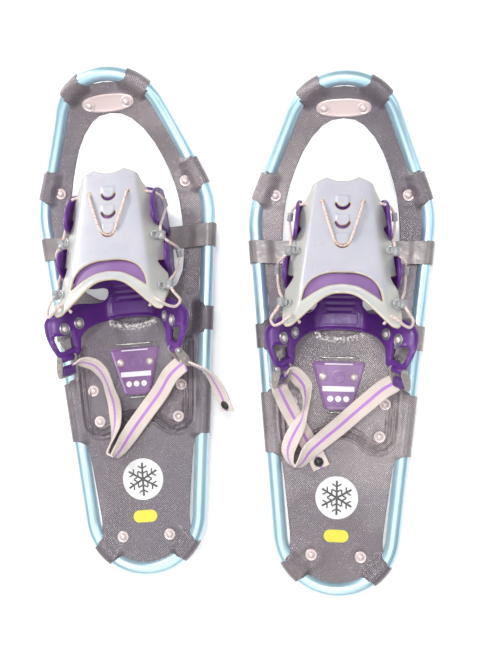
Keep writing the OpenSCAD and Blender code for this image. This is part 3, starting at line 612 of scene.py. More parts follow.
def cover_plastic():
    """Milky urethane: bluish on its middle, warmer on its flanks and amber where its rims let light out."""
    s = Shader("milky_urethane", (0.6, 0.6, 0.66), 0.34, 0.0, Coat_Weight=0.2, Coat_Roughness=0.25,
               Subsurface_Weight=0.25, Subsurface_Scale=0.004)
    x, y = s.xy()
    rim = s.math("GREATER_THAN", x, COVER_RIM_SHIFT / 2)
    past_crease = s.math("MULTIPLY_ADD", y, CREASE_SLOPE, s.math("ABSOLUTE", x))
    flank = s.ramp(s.math("MULTIPLY_ADD", past_crease, 2.2, -0.35), (0.36, 0.0), (0.5, 1.0))
    rear = s.ramp(s.math("MULTIPLY", y, -1.0), (0.4, 0.0), (0.62, 1.0))
    cloud = s.cloud(38, 3)
    middle = s.mix(cloud, (0.46, 0.46, 0.52), (0.53, 0.52, 0.575))
    warm = s.mix(cloud, (0.49, 0.49, 0.455), (0.56, 0.555, 0.52))
    body = s.mix(s.math("MAXIMUM", flank, rear), middle, warm)
    s.set("Base Color", s.mix(rim, body, (0.52, 0.43, 0.27)))
    s.set("Roughness", s.ramp(s.noise(160, 5), (0.3, 0.26), (0.75, 0.44)))
    s.bump(s.noise(900, 2), 0.04, 0.6)
    return s.m


def webbing_cloth():
    """Cream webbing with a violet line along its middle and a rib at every pick."""
    s = Shader("webbing_cloth", (0.74, 0.62, 0.55), 0.75, 0.0, Sheen_Weight=0.35, Sheen_Roughness=0.5)
    x, y = s.xy()
    line = s.math("LESS_THAN", s.math("ABSOLUTE", x), STRAP_LINE / 2 / UV_MM)
    rib = s.waves(y, 2.1)
    pick = s.waves(x, 0.95)
    cloud = s.cloud(45, 4)
    cream = s.mix(cloud, (0.80, 0.68, 0.61), (0.88, 0.79, 0.74))
    cream = s.mix(s.math("MULTIPLY", rib, 0.45), cream, (0.56, 0.45, 0.41))
    violet = s.mix(rib, (0.60, 0.30, 0.74), (0.44, 0.18, 0.60))
    s.set("Base Color", s.mix(line, cream, violet))
    weave = s.math("MULTIPLY_ADD", rib, 0.8, s.math("MULTIPLY", pick, 0.35))
    s.bump(weave, 0.4, 0.9)
    return s.m


def twisted_cord():
    """Cream cord of twisted strands with pink flecks."""
    s = Shader("twisted_cord", (0.80, 0.66, 0.58), 0.8, 0.0, Sheen_Weight=0.3, Sheen_Roughness=0.5)
    x, y = s.xy()
    strand = s.waves(s.math("MULTIPLY_ADD", x, 0.86, y), 2.0)
    strand_other = s.waves(s.math("MULTIPLY_ADD", x, -0.86, y), 4.1)
    fleck = s.ramp(s.math("MULTIPLY", strand_other, s.noise(260, 2)), (0.42, 0.0), (0.5, 1.0))
    base = s.mix(strand, (0.60, 0.47, 0.42), (0.92, 0.84, 0.77))
    s.set("Base Color", s.mix(fleck, base, (0.66, 0.33, 0.33)))
    s.bump(strand, 0.35, 0.9)
    return s.m


def clear_plastic():
    """Smoky see-through plastic of the guides and ferrules."""
    s = Shader("smoky_clear", (0.44, 0.44, 0.46), 0.2, 0.0, Transmission_Weight=0.35, Coat_Weight=0.4,
               Coat_Roughness=0.1)
    cloud = s.cloud(120, 3)
    s.set("Base Color", s.mix(cloud, (0.38, 0.38, 0.40), (0.55, 0.55, 0.57)))
    s.bump(s.noise(700, 2), 0.05, 0.5)
    return s.m


def band_rubber():
    """Smooth coated strap, its gloss varying at random."""
    s = Shader("band_rubber", (0.30, 0.26, 0.27), 0.3, 0.25, Coat_Weight=0.5, Coat_Roughness=0.2)
    cloud = s.cloud(42, 5, 0.32, 0.72)
    s.set("Base Color", s.mix(cloud, (0.19, 0.165, 0.17), (0.285, 0.245, 0.243)))
    s.set("Roughness", s.ramp(s.noise(90, 4), (0.3, 0.28), (0.75, 0.46)))
    grain = s.bump(s.noise(60, 4), 1.2, 0.6, s.bump(s.noise(420, 4), 0.08, 0.6))
    s.set("Coat Normal", grain)
    return s.m


# ---------------------------------------------------------------- the shoe's own shape

TUBE_R = 7.5
# Arcs of the frame's flat outline, right half: centre and radius
NOSE_C, NOSE_R = (0.0, 128.0), 64.5
SHOULDER_C, SHOULDER_R = (5.9, 31.5), 95.0
TAIL_C, TAIL_R = (0.0, -299.0), 67.0
BEND_Y, BEND_R = -5.0, 260.0       # where the nose starts to roll up, and its radius
DECK_TOP = 2.8         # height of the deck's upper face over the tube's centre plane
DECK_T = 1.5
PIVOT_Z = 4.4          # height of the hinge strap's middle


def to_flat(points):
    """Flat-pattern places of points given as seen from above on the finished shoe."""
    p = np.array(points, float)
    up = p[:, 1] > BEND_Y
    p[up, 1] = BEND_Y + BEND_R * np.arcsin(np.clip((p[up, 1] - BEND_Y) / BEND_R, 0, 1))
    return p


def on_shoe(x, s, h):
    """Points a height h above the tube's centre plane, from flat-pattern places."""
    a = np.maximum(0, s - BEND_Y) / BEND_R
    y = np.minimum(s, BEND_Y) + (BEND_R - h) * np.sin(a)
    return np.stack([x, y, BEND_R - (BEND_R - h) * np.cos(a)], 1)


def up_at(s):
    """The deck's upward direction at a place along the shoe."""
    a = np.maximum(0, s - BEND_Y) / BEND_R
    return np.stack([np.zeros_like(a), -np.sin(a), np.cos(a)], 1)


def seat(x, y, h):
    """Matrix of a fastener that stands on the deck at a place seen from above."""
    s = to_flat([(x, y)])[0, 1]
    o = on_shoe(np.array([x]), np.array([s]), h)[0]
    return frame_at(o, (1, 0, 0), np.cross(up_at(np.array([s]))[0], (1, 0, 0)))


def tangent_angle(c1, r1, c2, r2):
    """Angle at which a straight line leaves one arc to touch the next."""
    d = np.subtract(c2, c1)
    return math.atan2(d[1], d[0]) + math.acos((r1 - r2) / np.linalg.norm(d))


RAIL_A = tangent_angle(NOSE_C, NOSE_R, SHOULDER_C, SHOULDER_R)
SIDE_A = tangent_angle(SHOULDER_C, SHOULDER_R, TAIL_C, TAIL_R)


def arc(c, r, start, end, steps=40):
    a = np.linspace(start, end, steps)
    return np.stack([c[0] + r * np.cos(a), c[1] + r * np.sin(a)], 1)


def outline(inset):
    """The frame's flat outline, right half, from nose to tail."""
    return np.vstack([arc(NOSE_C, NOSE_R - inset, math.pi / 2, RAIL_A),
                      arc(SHOULDER_C, SHOULDER_R - inset, RAIL_A, SIDE_A),
                      arc(TAIL_C, TAIL_R - inset, SIDE_A, -math.pi / 2)])


CENTRE = spaced(outline(TUBE_R), 1.5, closed=False)      # tube's centre line, right half, flat
RUN = running(CENTRE)


def tube_line(run):
    """Places on the tube's centre line, by how far along it they are."""
    return np.stack([np.interp(run, RUN, CENTRE[:, i]) for i in (0, 1)], 1)


def run_of(point):
    """How far along the tube's centre line a place seen from above is."""
    return to_line(to_flat([point]), CENTRE)[1][0]


# Where the deck is folded round the tube, right half, as [start, end] seen from above
FOLDS = [[(25.6, 167.2), (45.4, 154.7)], [(84.9, 86), (93.6, 57)], [(84.4, -79), (81.4, -105)],
         [(75.8, -153), (68.8, -217)], [(54.5, -331), (38, -348)]]
FOLD_RUNS = [sorted((run_of(a), run_of(b))) for a, b in FOLDS]

# The deck's free edge between its folds, right half, seen from above
EDGES = [
    [(0, 162.8), (9, 162.15), (16, 162.0), (20, 163.2), (24, 165.5)],
    [(46.5, 152.5), (45.3, 146), (48.0, 137), (53.8, 125), (61.5, 112), (69.5, 98.5), (77, 90.5),
     (83.5, 86.5)],
    [(92.8, 57), (90.2, 54), (88.3, 47), (87.0, 36), (86.3, 14), (85, -10), (80.6, -35), (76.8, -58),
     (79, -70), (82.5, -78)],
    [(80.5, -107), (77, -110.5), (72.9, -119.5), (71.8, -129), (72, -138), (73.5, -147.5),
     (75.5, -151.5)],
    [(68.5, -218), (65, -219.5), (60, -226), (57, -240), (54, -262), (50.8, -287), (48.8, -310),
     (50.5, -322), (53.5, -329)],
    [(38, -348.5), (32, -346.8), (20, -349.2), (8, -352.2), (0, -352.7)],
]
OPENING = [(0, 136), (12, 134.5), (22, 129.5), (33, 119), (42.5, 105), (49.5, 90), (55.5, 74),
           (59.5, 58), (62, 42), (63, 26), (63.5, 8), (63, -15), (60, -36), (52, -52), (38, -61),
           (20, -64.5), (0, -65)]
FOLD_R = 9.1           # outer radius of a fold
FOLD_WRAP = (97, -150) # degrees round the tube that a fold covers, from its top outwards
FOLD_EASE = 9.0        # how far along the tube the deck rises to a fold
BLEND_D = 16.0         # how far from the tube's centre line the deck rises to a fold


def deck_outline():
    """The deck's flat outline, which follows the tube's centre line where the deck is folded."""
    half = []
    for k, edge in enumerate(EDGES):
        half.append(curve(to_flat(edge), 2.0))
        if k < len(FOLD_RUNS):
            a, b = FOLD_RUNS[k]
            line = tube_line(np.arange(a, b + 0.1, 1.5))
            d = headings(line)
            half.append(line + 0.8 * np.stack([-d[:, 1], d[:, 0]], 1))
    return whole(np.vstack(half))


# Pressed double line round the heel claws, seen from above
PRESSED = [(62, -118), (60.5, -137), (58.5, -165), (57, -190), (55.5, -202), (50, -208.5), (43, -210.5),
           (36, -209.5), (29, -206), (21, -198.5), (14, -195.3), (6, -194), (0, -194)]
# Ridges along that line: height, distance from it and width
PRESSED_RELIEF = [(2.2, 0.0, 1.5), (1.8, 5.4, 1.5), (-0.9, 2.7, 1.3)]
RIVETS = [(71.5, 62), (25.9, -323.5), (49.6, -163), (44.2, -197.4)]


def hump(d, width):
    """1 at a distance of 0, falling off over width on both sides."""
    return np.exp(-(d / width) ** 2)


def deck_height(x, s):
    """Height of the deck's upper face over the tube's centre plane, from flat-pattern places."""
    xy = np.stack([np.abs(x), s], 1)
    d, run = to_line(xy, CENTRE)
    fold = np.zeros_like(x)
    for a, b in FOLD_RUNS:
        fold = np.maximum(fold, smoothstep(a - FOLD_EASE, a, run) * (1 - smoothstep(b, b + FOLD_EASE, run)))
    t = np.clip(d / BLEND_D, 0, 1)
    h = DECK_TOP + (FOLD_R - DECK_TOP) * (1 - t * t) ** 2 * fold
    # creases that run in from the folds
    h += fold * 0.35 * hump(d - 17, 6) * np.sin(run / 4.1 + 1.3 * np.sin(run / 9))
    line, _ = to_line(xy, np.array(PRESSED))
    for height, off, width in PRESSED_RELIEF:
        h += height * hump(line - off, width)
    for p in RIVETS:
        f = to_flat([p])[0]
        gap = np.hypot(xy[:, 0] - f[0], s - f[1])
        h += 0.5 * hump(gap - 11, 3.5) - 0.3 * hump(gap, 7)
    # lip that the platform's back edge has pressed into the deck
    lip = np.abs(s + 90 - 6.0 * (x / 26) ** 2 + 4)
    h += 2.2 * hump(lip, 3.0) * (1 - smoothstep(20, 30, np.abs(x)))
    # slow waves in the sheet
    slow = 0.45 * np.sin(x / 17 + 0.6) * np.sin(s / 23)
    slow += 0.35 * np.sin(x / 9.5 - s / 31) + 0.25 * np.sin(s / 11 + x / 25)
    return h + slow * smoothstep(6, 26, d) * (1 - hump(np.abs(s - 147), 14))


def deck_top(x, s):
    return on_shoe(x, s, deck_height(x, s))


def fold_sleeve(a, b):
    """The deck's fold round the tube, from the tube's top over its outer side to below it."""
    at = np.linspace(a, b, max(6, int((b - a) / 2)))
    line = tube_line(at)
    path = on_shoe(*line.T, np.zeros(len(line)))
    t = headings(path)
    up = up_at(line[:, 1])
    out = unit(np.cross(up, t))
    out *= np.sign(out[:, :1] * 1.0 + 1e-9)
    turn = np.radians(np.linspace(*FOLD_WRAP, 42))
    skin_r = FOLD_R + 0.03 - 0.25 * smoothstep(-0.6, -2.4, -turn)
    outer = [(r * math.cos(k), r * math.sin(k)) for r, k in zip(skin_r, turn)]
    inner_r = TUBE_R + 0.1
    inner = [(inner_r * math.cos(k), inner_r * math.sin(k)) for k in turn[::-1]]
    section = np.array(outer + inner)
    rings = rings_along(path, section, out, up)
    u = np.append(running(section), 0) + line[:, 0].mean()
    part = grid_part(rings, u, at)
    if np.dot(np.cross(t[0], out[0]), up[0]) < 0:
        part.faces = [f[::-1] for f in part.faces]
        part.uvs = [c[::-1] for c in part.uvs]
    return part


def deck_area():
    """Flat area of the deck's cut in square metres: its outline and folds, less the toe opening."""
    folds = 2 * sum(b - a for a, b in FOLD_RUNS) * FOLD_R * math.radians(-FOLD_WRAP[1])
    return (abs(area(deck_outline())) - abs(area(whole(to_flat(OPENING)))) + folds) * MM * MM


def deck():
    sheet = shell(deck_outline(), deck_top, DECK_T, holes=[whole(to_flat(OPENING))], edge=0.7, cell=1.3)
    folds = joined([fold_sleeve(a, b) for a, b in FOLD_RUNS])
    return joined([sheet, folds.both()])


def frame_tube():
    loop = whole(CENTRE)
    path = on_shoe(*loop.T, np.zeros(len(loop)))
    return swept(path, circle(TUBE_R, 40), up_at(loop[:, 1]), closed=True)


DECK_RIVET = [(0, 2.9), (1.4, 2.75), (2.6, 2.2), (3.3, 1.4), (3.6, 0.7), (3.9, 0.45), (4.4, 0.7),
              (5.0, 1.0), (5.6, 1.0), (6.1, 0.6), (6.2, 0.0), (5.9, -0.4)]
DOME_RIVET = [(0, 2.9), (1.6, 2.75), (3.0, 2.2), (4.0, 1.3), (4.4, 0.5), (4.5, 0.0), (4.3, -0.5)]


def turned(profile, places, h):
    """The same turned fastener at places seen from above and at their mirror images."""
    piece = lathe(profile[::-1], 36)
    return joined([piece.moved(seat(x * m, y, h)) for x, y in places for m in (1, -1)])


BADGE = (28.6, 9.6)    # half size of the nose plate


def nose_plate():
    """Oval badge with a low rim."""
    s0 = to_flat([(0, 145.2)])[0, 1]
    a = np.linspace(math.pi / 2, -math.pi / 2, 60)
    oval = np.stack([np.cos(a) ** 0.86, np.sign(np.sin(a)) * np.abs(np.sin(a)) ** 0.8], 1) * BADGE
    outer = whole(oval) + [0, s0]

    def top(x, s):
        return on_shoe(x, s, DECK_TOP + 1.5 + 0.3 * hump(from_rim(x, s, outer) - 1.4, 0.8))
    return shell(outer, top, 1.3, edge=0.6, cell=1.3)


HEEL_PLATE = [(29, -118.5), (14.2, -170.5)]


def heel_plate():
    (x0, y0), (x1, y1) = HEEL_PLATE
    outer = rounded([(x0, y0), (-x0, y0), (-x1, y1), (x1, y1)], 4.5)

    def top(x, y):
        seal = np.hypot(x, y + 134.7)
        ring = 0.35 * hump(seal - 5.6, 0.6) + 0.25 * hump(seal - 3.2, 0.5)
        z = DECK_TOP + 1.9 + 0.5 * hump(from_rim(x, y, outer) - 1.2, 1.0) + ring
        return np.stack([x, y, z], 1)
    return shell(outer, top, 1.8, edge=0.8, cell=1.0)


def plate_bars():
    """Wire bars that go down through the deck at both ends."""
    def bar(half, y):
        p = curve([(-half, y, DECK_TOP - 0.6), (-half + 1.2, y, DECK_TOP + 1.1), (0, y, DECK_TOP + 1.3),
                   (half - 1.2, y, DECK_TOP + 1.1), (half, y, DECK_TOP - 0.6)], 0.8)
        return swept(p, circle(1.0, 12), carried(p, (0, 1, 0)))
    return joined([bar(21, -114.2), bar(10.5, -173.2)])


# ---------------------------------------------------------------- binding: moulded base and its fittings

BASE_TOP = 11.0
BASE_HALF = [(0, 61), (20, 60.8), (30, 59), (38, 56), (43, 49), (45, 28), (47, 3), (49, -8),
             (50.6, -22), (51, -43), (48, -48.6), (40, -50), (29, -50.2), (25, -52), (24, -56),
             (25.3, -61), (29, -66), (35, -68.6), (45, -70.2), (55, -74.6), (65, -80.4), (71.5, -85.4),
             (74.4, -91), (74.2, -100), (71, -112), (66, -122), (61.5, -129), (58.8, -132.2),
             (55.5, -131), (50.3, -127.4), (45.9, -122), (45.2, -113), (44.7, -106), (42, -100),
             (36, -93), (28, -87.8), (20, -85.6), (10, -84.7), (0, -84.5)]
# Upper face of the cross piece and wings: distance from the centre line and height
WING_TOP = curve([(0, 11), (12, 11), (22, 11.1), (26, 12), (29.4, 16.6), (36, 29.4), (43.2, 43.6),
                  (51.4, 55.6), (58.6, 65.8), (62.5, 69), (72.9, 72), (78, 73.4)], 0.8)
WINDOW = [(51.2, -98.5), (53.6, -99), (54.6, -104.8), (65, -105), (66, -108.5), (61, -120.8),
          (58.8, -121.6), (49.8, -116.2)]
# Grooves moulded across the neck: place along the shoe and half length
GROOVES = [(-50.5, 17), (-57.2, 15.5), (-64, 13.5)]
# A place on the wing in the plane across the shoe, and the direction up the wing from it
ELBOW = np.array((45.0, 43.0))
WING_V = unit(np.array((16.0, 23.0)))
WING_RIVETS = [(5, -91), (23.3, -97.5)]    # place up the wing and along the shoe


def capsule(x, y, half, centre, r):
    """Distance outside a capsule that lies across the shoe."""
    return np.hypot(np.maximum(np.abs(x) - half + r, 0), y - centre) - r


def base_shell():
    half = curve(BASE_HALF, 1.5)
    half[0, 0] = half[-1, 0] = 0
    loop = whole(half)
    windows = [rounded(WINDOW, 0.9), rounded(mirrored(WINDOW), 0.9)]

    def top(x, y):
        a = np.abs(x)
        z = BASE_TOP + (np.interp(a, WING_TOP[:, 0], WING_TOP[:, 1]) - BASE_TOP) * smoothstep(-53, -58, y)
        rim = from_rim(x, y, loop)
        wing = smoothstep(-54, -60, y)
        z = z + wing * (1.1 * hump(rim - 1.5, 1.2) - 0.35 * hump(rim - 4.2, 1.3))
        for w in windows:
            z = z + 0.9 * hump(from_rim(x, y, w) - 1.6, 1.0)
        for centre, half_length in GROOVES:
            z = z - 0.85 * (1 - smoothstep(-0.5, 0.3, capsule(x, y, half_length, centre, 1.25)))
        cross = smoothstep(-64, -68, y)
        for line in (22.8, 25.4, 28.6):
            z = z + cross * 0.5 * hump(a - line - 0.03 * (y + 76), 0.55)
        for p in (40, 47):
            z = z + cross * 0.45 * hump(a - p, 0.5) * smoothstep(-92, -88, y)
        return np.stack([x, y, z], 1)
    return shell(loop, top, 4.0, holes=windows, edge=1.0, cell=1.5)


FRONT_FLAP = [(56, 0), (54, 14), (50, 31), (44.5, 46), (36, 57), (27, 64), (19, 67.6), (11, 68.2),
              (6, 66), (3.5, 60), (3, 40), (3, 0)]
REAR_FLAP = [(-7, 0), (-8, 22), (-9.5, 38), (-13, 53), (-21, 65), (-31, 69), (-40, 64.5), (-45, 53),
             (-46.5, 38), (-47, 0)]


def flap(points, foot, along, up):
    """Upright flap whose middle plane holds foot; points are (place along the shoe, height up the flap)."""
    m = frame_at(foot, along, up)
    loop = rounded(points, 7, 6)

    def outer_face(u, v):
        h = 1.5 + 0.9 * hump(from_rim(u, v, loop) - 2.0, 1.3) - 1.8 * smoothstep(46, 70, v)
        local = np.stack([u - foot[1], v, h], 1)
        return local @ m[:3, :3].T + m[:3, 3]
    return shell(loop, outer_face, 3.0, edge=1.1, cell=1.8)


def binding_base():
    front = flap(FRONT_FLAP, (48.5, 3, 7), (-5 / 52, 1, 0), (0, 0, 60))
    rear = flap(REAR_FLAP, (49.5, -47, 7), (0, 1, 0), (8, 0, 60))
    boss = lathe([(0, -7.6), (2.9, -7.5), (3.6, -6.6), (3.6, 6.6), (2.9, 7.5), (0, 7.6)], 28)
    boss = boss.moved(pin_frame())
    pad = shell(rounded([(20, -79), (20, -66.5), (-20, -66.5), (-20, -79)], 3), flat(BASE_TOP + 0.5), 1.2,
                edge=0.4, cell=2)
    return joined([base_shell(), front.both(), rear.both(), boss.both(), pad])


def on_wing(up_wing, y, h):
    """Matrix of a fastener on the right wing, by its place up the wing and along the shoe."""
    at = ELBOW + up_wing * WING_V
    o = np.array((at[0], y, at[1])) + h * np.array((-WING_V[1], 0, WING_V[0]))
    return frame_at(o, (0, 1, 0), (-WING_V[0], 0, -WING_V[1]))


WASHER = [(2.5, 0.5), (2.9, 1.2), (3.8, 0.75), (4.9, 0.8), (5.7, 1.15), (6.25, 0.75), (6.35, -0.4)]
WING_DOME = [(0, 2.5), (1.4, 2.35), (2.5, 1.85), (3.2, 1.1), (3.35, 0.4)]


def wing_turned(profile, h):
    """The same turned fastener at each of the wings' rivet places."""
    piece = lathe(profile[::-1], 36)
    return joined([piece.moved(on_wing(*p, h)).both() for p in WING_RIVETS])


# ---------------------------------------------------------------- toe cover

COVER_FRONT = [(0, 62.3), (6, 62.7), (11, 64.2), (15.5, 66.5)]
COVER_SIDE = [(17.5, 66.2), (24, 63.2), (30.2, 60.2), (31.6, 57.5), (33.6, 52), (38.6, 43.5),
              (43.8, 31.5), (46.4, 21.5), (46, 18.6), (42.2, 15.4), (41.7, 13), (43.2, 10.6),
              (48.4, 5.4), (51, 0), (52.4, -14), (54, -25), (54.8, -33.2), (52, -34.6), (48.8, -35.2),
              (48.1, -37.2), (50, -40.6), (56.2, -49), (57.6, -61), (57.6, -73), (56.8, -82)]
COVER_REAR = [(56, -85.5), (53.6, -88.2), (49, -87.6), (42, -82), (31, -71.5), (23, -64), (14, -57.6),
              (7, -55.3), (0, -54.8)]
CRESCENT_TOP = [(0, -34), (11, -34.3), (21, -36.8), (30, -42), (35.6, -50), (38.8, -61)]
CRESCENT_LOW = [(38.7, -62.2), (28, -54.6), (14, -47.4), (0, -45.2)]
TABS = (40, 20, 0)     # centres of the three lace tabs along the shoe
TAB_R = 6.7


COVER_T = 2.3
COVER_RIM_SHIFT = 20.0             # in UV units; cover_plastic tells the rims by it
CREASE_X, CREASE_SLOPE = 35.3, 0.118       # where the cover bends down to its flanks


def cover_plane(y):
    return 77.6 - 0.208 * y


def cover_height(x, y):
    a = np.abs(x)
    d = a - (CREASE_X - CREASE_SLOPE * y)
    drop = 0.74 * (d + np.sqrt(d * d + 7)) * (1 - smoothstep(-64, -81, y))
    return cover_plane(y) - drop - 0.0009 * a * a


def tab_gap(x, y, centre):
    """Distance outside a tab, whose top is square and whose bottom is round."""
    round_end = np.hypot(x, y - centre - 0.7) - TAB_R
    square_end = np.maximum(np.abs(x) - TAB_R, y - centre - 6.2)
    return np.where(y > centre + 0.7, square_end, round_end)


def slit(centre):
    """Crescent cut under a tab."""
    low = arc((0, centre - 1.1), 7.9, math.radians(188), math.radians(352), 14)
    high = arc((0, centre + 0.7), TAB_R + 0.2, math.radians(349), math.radians(191), 14)
    return np.vstack([low, high])


def cover():
    loop = whole(np.vstack([curve(COVER_FRONT, 1.5), COVER_SIDE, curve(COVER_REAR, 1.5)]))
    crescent = whole(np.vstack([curve(CRESCENT_TOP, 1.2), curve(CRESCENT_LOW, 1.2)]))[::-1]
    holes = [crescent, *[slit(c) for c in TABS]]
    holes += [circle(1.9, 14) + (20.3 * m, 40) for m in (1, -1)]

    def top(x, y):
        z = cover_height(x, y)
        z = z + 0.45 * hump(from_rim(x, y, loop) - 1.6, 1.4)
        z = z + 0.4 * hump(from_rim(x, y, crescent) - 1.3, 1.1)
        for c in TABS:
            z = z + 1.25 * (1 - smoothstep(-0.7, 0.25, tab_gap(x, y, c)))
            z = z - 0.45 * hump(np.abs(x), 3.2) * hump(y - c - 2.2, 1.3)
        return np.stack([x, y, z], 1)
    return shell(loop, top, COVER_T, holes=holes, edge=0.9, cell=1.3, rim_shift=COVER_RIM_SHIFT)


def tongue():
    half = curve([(0, 20), (14, 19), (22, 12), (27, 0), (31, -30), (36, -52), (38, -64.5), (34, -64),
                  (26, -58), (12, -51.5), (0, -50)], 2)
    half[0, 0] = half[-1, 0] = 0
    return shell(whole(half), lambda x, y: np.stack([x, y, cover_plane(y) - 3.8 - 0.0012 * x * x], 1), 1.8,
                 edge=0.8, cell=2)


# ---------------------------------------------------------------- lace

LACE_D = 2.9
LACE = [(0, -6.4, 76.4), (4.6, -4.9, 76.8), (8.2, -0.6, 79.2), (10.2, 5, 79.0), (15, 20, 76),
        (19, 34, 73), (20.3, 40, 69), (24, 42, 63), (32, 41, 59), (40, 40, 58), (47, 38, 56),
        (52, 34, 48), (53.8, 27, 44), (52.5, 12, 54), (51.5, -2, 65), (53.5, -11, 68), (58, -16, 67),
        (62.5, -19, 60), (65, -22, 46), (65, -34, 44), (62, -50, 60), (59, -62, 75), (63, -70, 79),
        (69, -80, 76), (66, -86, 82), (58, -85, 92), (51, -80, 96.5), (46, -77, 90), (40, -84, 86)]
FERRULES = [((52.9, 33, 47), (53.9, 26, 43.8)), ((65, -22, 47), (65.2, -29, 42.5))]
# Guides: the place of the ring that clips to the cover and of the barrel that the lace runs through
GUIDES = [((46.6, -9.2, 69.5), (53.2, -10.2, 67.5)), ((52.4, -63.5, 78), (59.4, -63.4, 75.6))]


def lace_path():
    half = np.array(LACE)
    rows = np.vstack([(half * [-1, 1, 1])[:0:-1], half])
    return spaced(curve(rows, 0.9), 0.9, closed=False)


def lace(path):
    return swept(path, circle(LACE_D / 2, 16), carried(path, (0.1, 0.9, 0.3)))


def ferrules():
    out = []
    for a, b in FERRULES:
        a, b = np.array(a, float), np.array(b, float)
        n = np.linalg.norm(b - a)
        profile = [(1.7, -0.6), (2.7, -0.4), (3.2, 0.6), (2.9, 1.8), (3.0, n / 2), (2.9, n - 1.8),
                   (3.2, n - 0.6), (2.7, n + 0.4), (1.7, n + 0.6)]
        out.append(lathe(profile, 26).moved(axis_frame(a, b - a, (0, 1, 1))))
    return joined(out).both()


def guides():
    out = []
    for ring, barrel in GUIDES:
        ring, barrel = np.array(ring, float), np.array(barrel, float)
        a = np.linspace(0, 2 * math.pi, 40, endpoint=False)
        across = unit(np.array((0.62, 0, -0.78)))
        path = ring + 4.4 * np.cos(a)[:, None] * across + 3.4 * np.sin(a)[:, None] * np.array((0, 1.0, 0))
        up = np.tile(np.cross(across, (0, -1, 0)), (len(path), 1))
        out.append(swept(path, circle(1.25, 14), up, closed=True))
        profile = [(0, -4.9), (2.4, -4.8), (3.6, -4.0), (4.1, -2.6), (3.5, -0.9), (3.5, 0.9),
                   (4.1, 2.6), (3.6, 4.0), (2.4, 4.8), (0, 4.9)]
        out.append(lathe(profile, 28).moved(frame_at(barrel, (1, 0, 0), (0, 0, -1))))
        web = rounded([(-3.2, -3), (4.2, -3.4), (4.2, 3.4), (-3.2, 3)], 2)
        web = shell(web, flat(0.8), 1.6, edge=0.6, cell=1.2)
        out.append(web.moved(frame_at((ring + barrel) / 2, barrel - ring, (0, 1, 0))))
    return joined(out).both()


# ---------------------------------------------------------------- buckles

# The right-hand wing's pin, and the way its buckle hangs from it
PIN_C = np.array((57.0, -127.5, 60.2))
PIN_U = unit(np.array((0.56, -0.25, 0.80)))
HANG = np.array((0, -0.82, -0.57))
HANG = unit(HANG - (HANG @ PIN_U) * PIN_U)
BUCKLE_N = np.cross(PIN_U, HANG)
ARM_GAP, ARM_T, BUCKLE_LEN = 8.2, 2.4, 19.0
LEVER_AT, LEVER_H = 11.0, 0.5      # the lever's pivot, down the buckle and above its middle
LEVER_W = 15.2
ARM = [(-3.5, -3), (3, -4.5), (19, -3), (21.5, 0), (19, 3), (11, 5), (3, 4), (-3, 3.2)]
LEVER = [(-3, 0), (-1.5, -2.6), (1.5, -2.6), (3, 0.5), (6.5, 4.2), (5.5, 6), (-2, 3.6)]
# Turn of each shoe's adjuster and anchor buckle about its pin
TURNS = {"left": (20, 0), "right": (0, 6)}


def pin_frame():
    """Frame whose third axis runs along the right-hand wing's pin."""
    return frame_at(PIN_C, HANG, BUCKLE_N)


def buckle_frame(turn, k=0.0, d=0.0, h=0.0):
    """Frame on a turned buckle, k along its pin, d down its arms and h out from them."""
    a = math.radians(turn)
    hang = math.cos(a) * HANG + math.sin(a) * BUCKLE_N
    out = np.cross(PIN_U, hang)
    return frame_at(PIN_C + k * PIN_U + d * hang + h * out, hang, out)


def buckle(turn):
    """Two arms, the bar that joins them and the heads of the lever's rivet."""
    plate = shell(rounded(ARM, 1.8), flat(0), ARM_T, edge=0.7, cell=1.2)
    rivet_head = lathe([(2.5, -0.2), (2.5, 0.2), (1.9, 0.8), (0, 1.1)], 24)
    out = [plate.moved(buckle_frame(turn, k)) for k in (-ARM_GAP, ARM_GAP + ARM_T)]
    turned_over = np.diag([1.0, -1.0, -1.0, 1.0])
    out.append(rivet_head.moved(buckle_frame(turn, ARM_GAP + ARM_T, LEVER_AT, LEVER_H)))
    out.append(rivet_head.moved(buckle_frame(turn, -ARM_GAP - ARM_T, LEVER_AT, LEVER_H) @ turned_over))
    bar = lathe([(0, -9.4), (1.8, -9.3), (1.8, 9.3), (0, 9.4)], 20)
    out.append(bar.moved(buckle_frame(turn, 0, BUCKLE_LEN)))
    return joined(out)


def lever(turn, face):
    """Cam lever with three ribs; face is 1 or -1, the side of the buckle that it stands on."""
    points = np.array(LEVER) * (1, face) + (LEVER_AT, LEVER_H)
    loop = rounded(points, 1.3)
    cam = shell(loop if face > 0 else loop[::-1], flat(0), LEVER_W, edge=0.8, cell=1.0)
    ribs = []
    for x in (3.0, 4.3, 5.6):
        y = 2.2 + 1.05 * (x - 3.0)
        rib = lathe([(0, -6.6), (0.55, -6.4), (0.55, 6.4), (0, 6.6)], 10)
        ribs.append(rib.moved(buckle_frame(turn, 0, LEVER_AT + x + 0.2, LEVER_H + face * (y - 0.2))))
    return joined([cam.moved(buckle_frame(turn, LEVER_W / 2)), *ribs])


def pins():
    head = [(0, -12.3), (1.6, -12.1), (2.5, -11.4), (2.6, -10.8), (1.45, -10.7), (1.45, 10.7), (2.6, 10.8),
            (2.5, 11.4), (1.6, 12.1), (0, 12.3)]
    return lathe(head, 24).moved(pin_frame()).both()


# ---------------------------------------------------------------- webbing

STRAP_W, STRAP_T = 19.0, 1.8
STRAP_LINE = 3.3       # width of the violet line
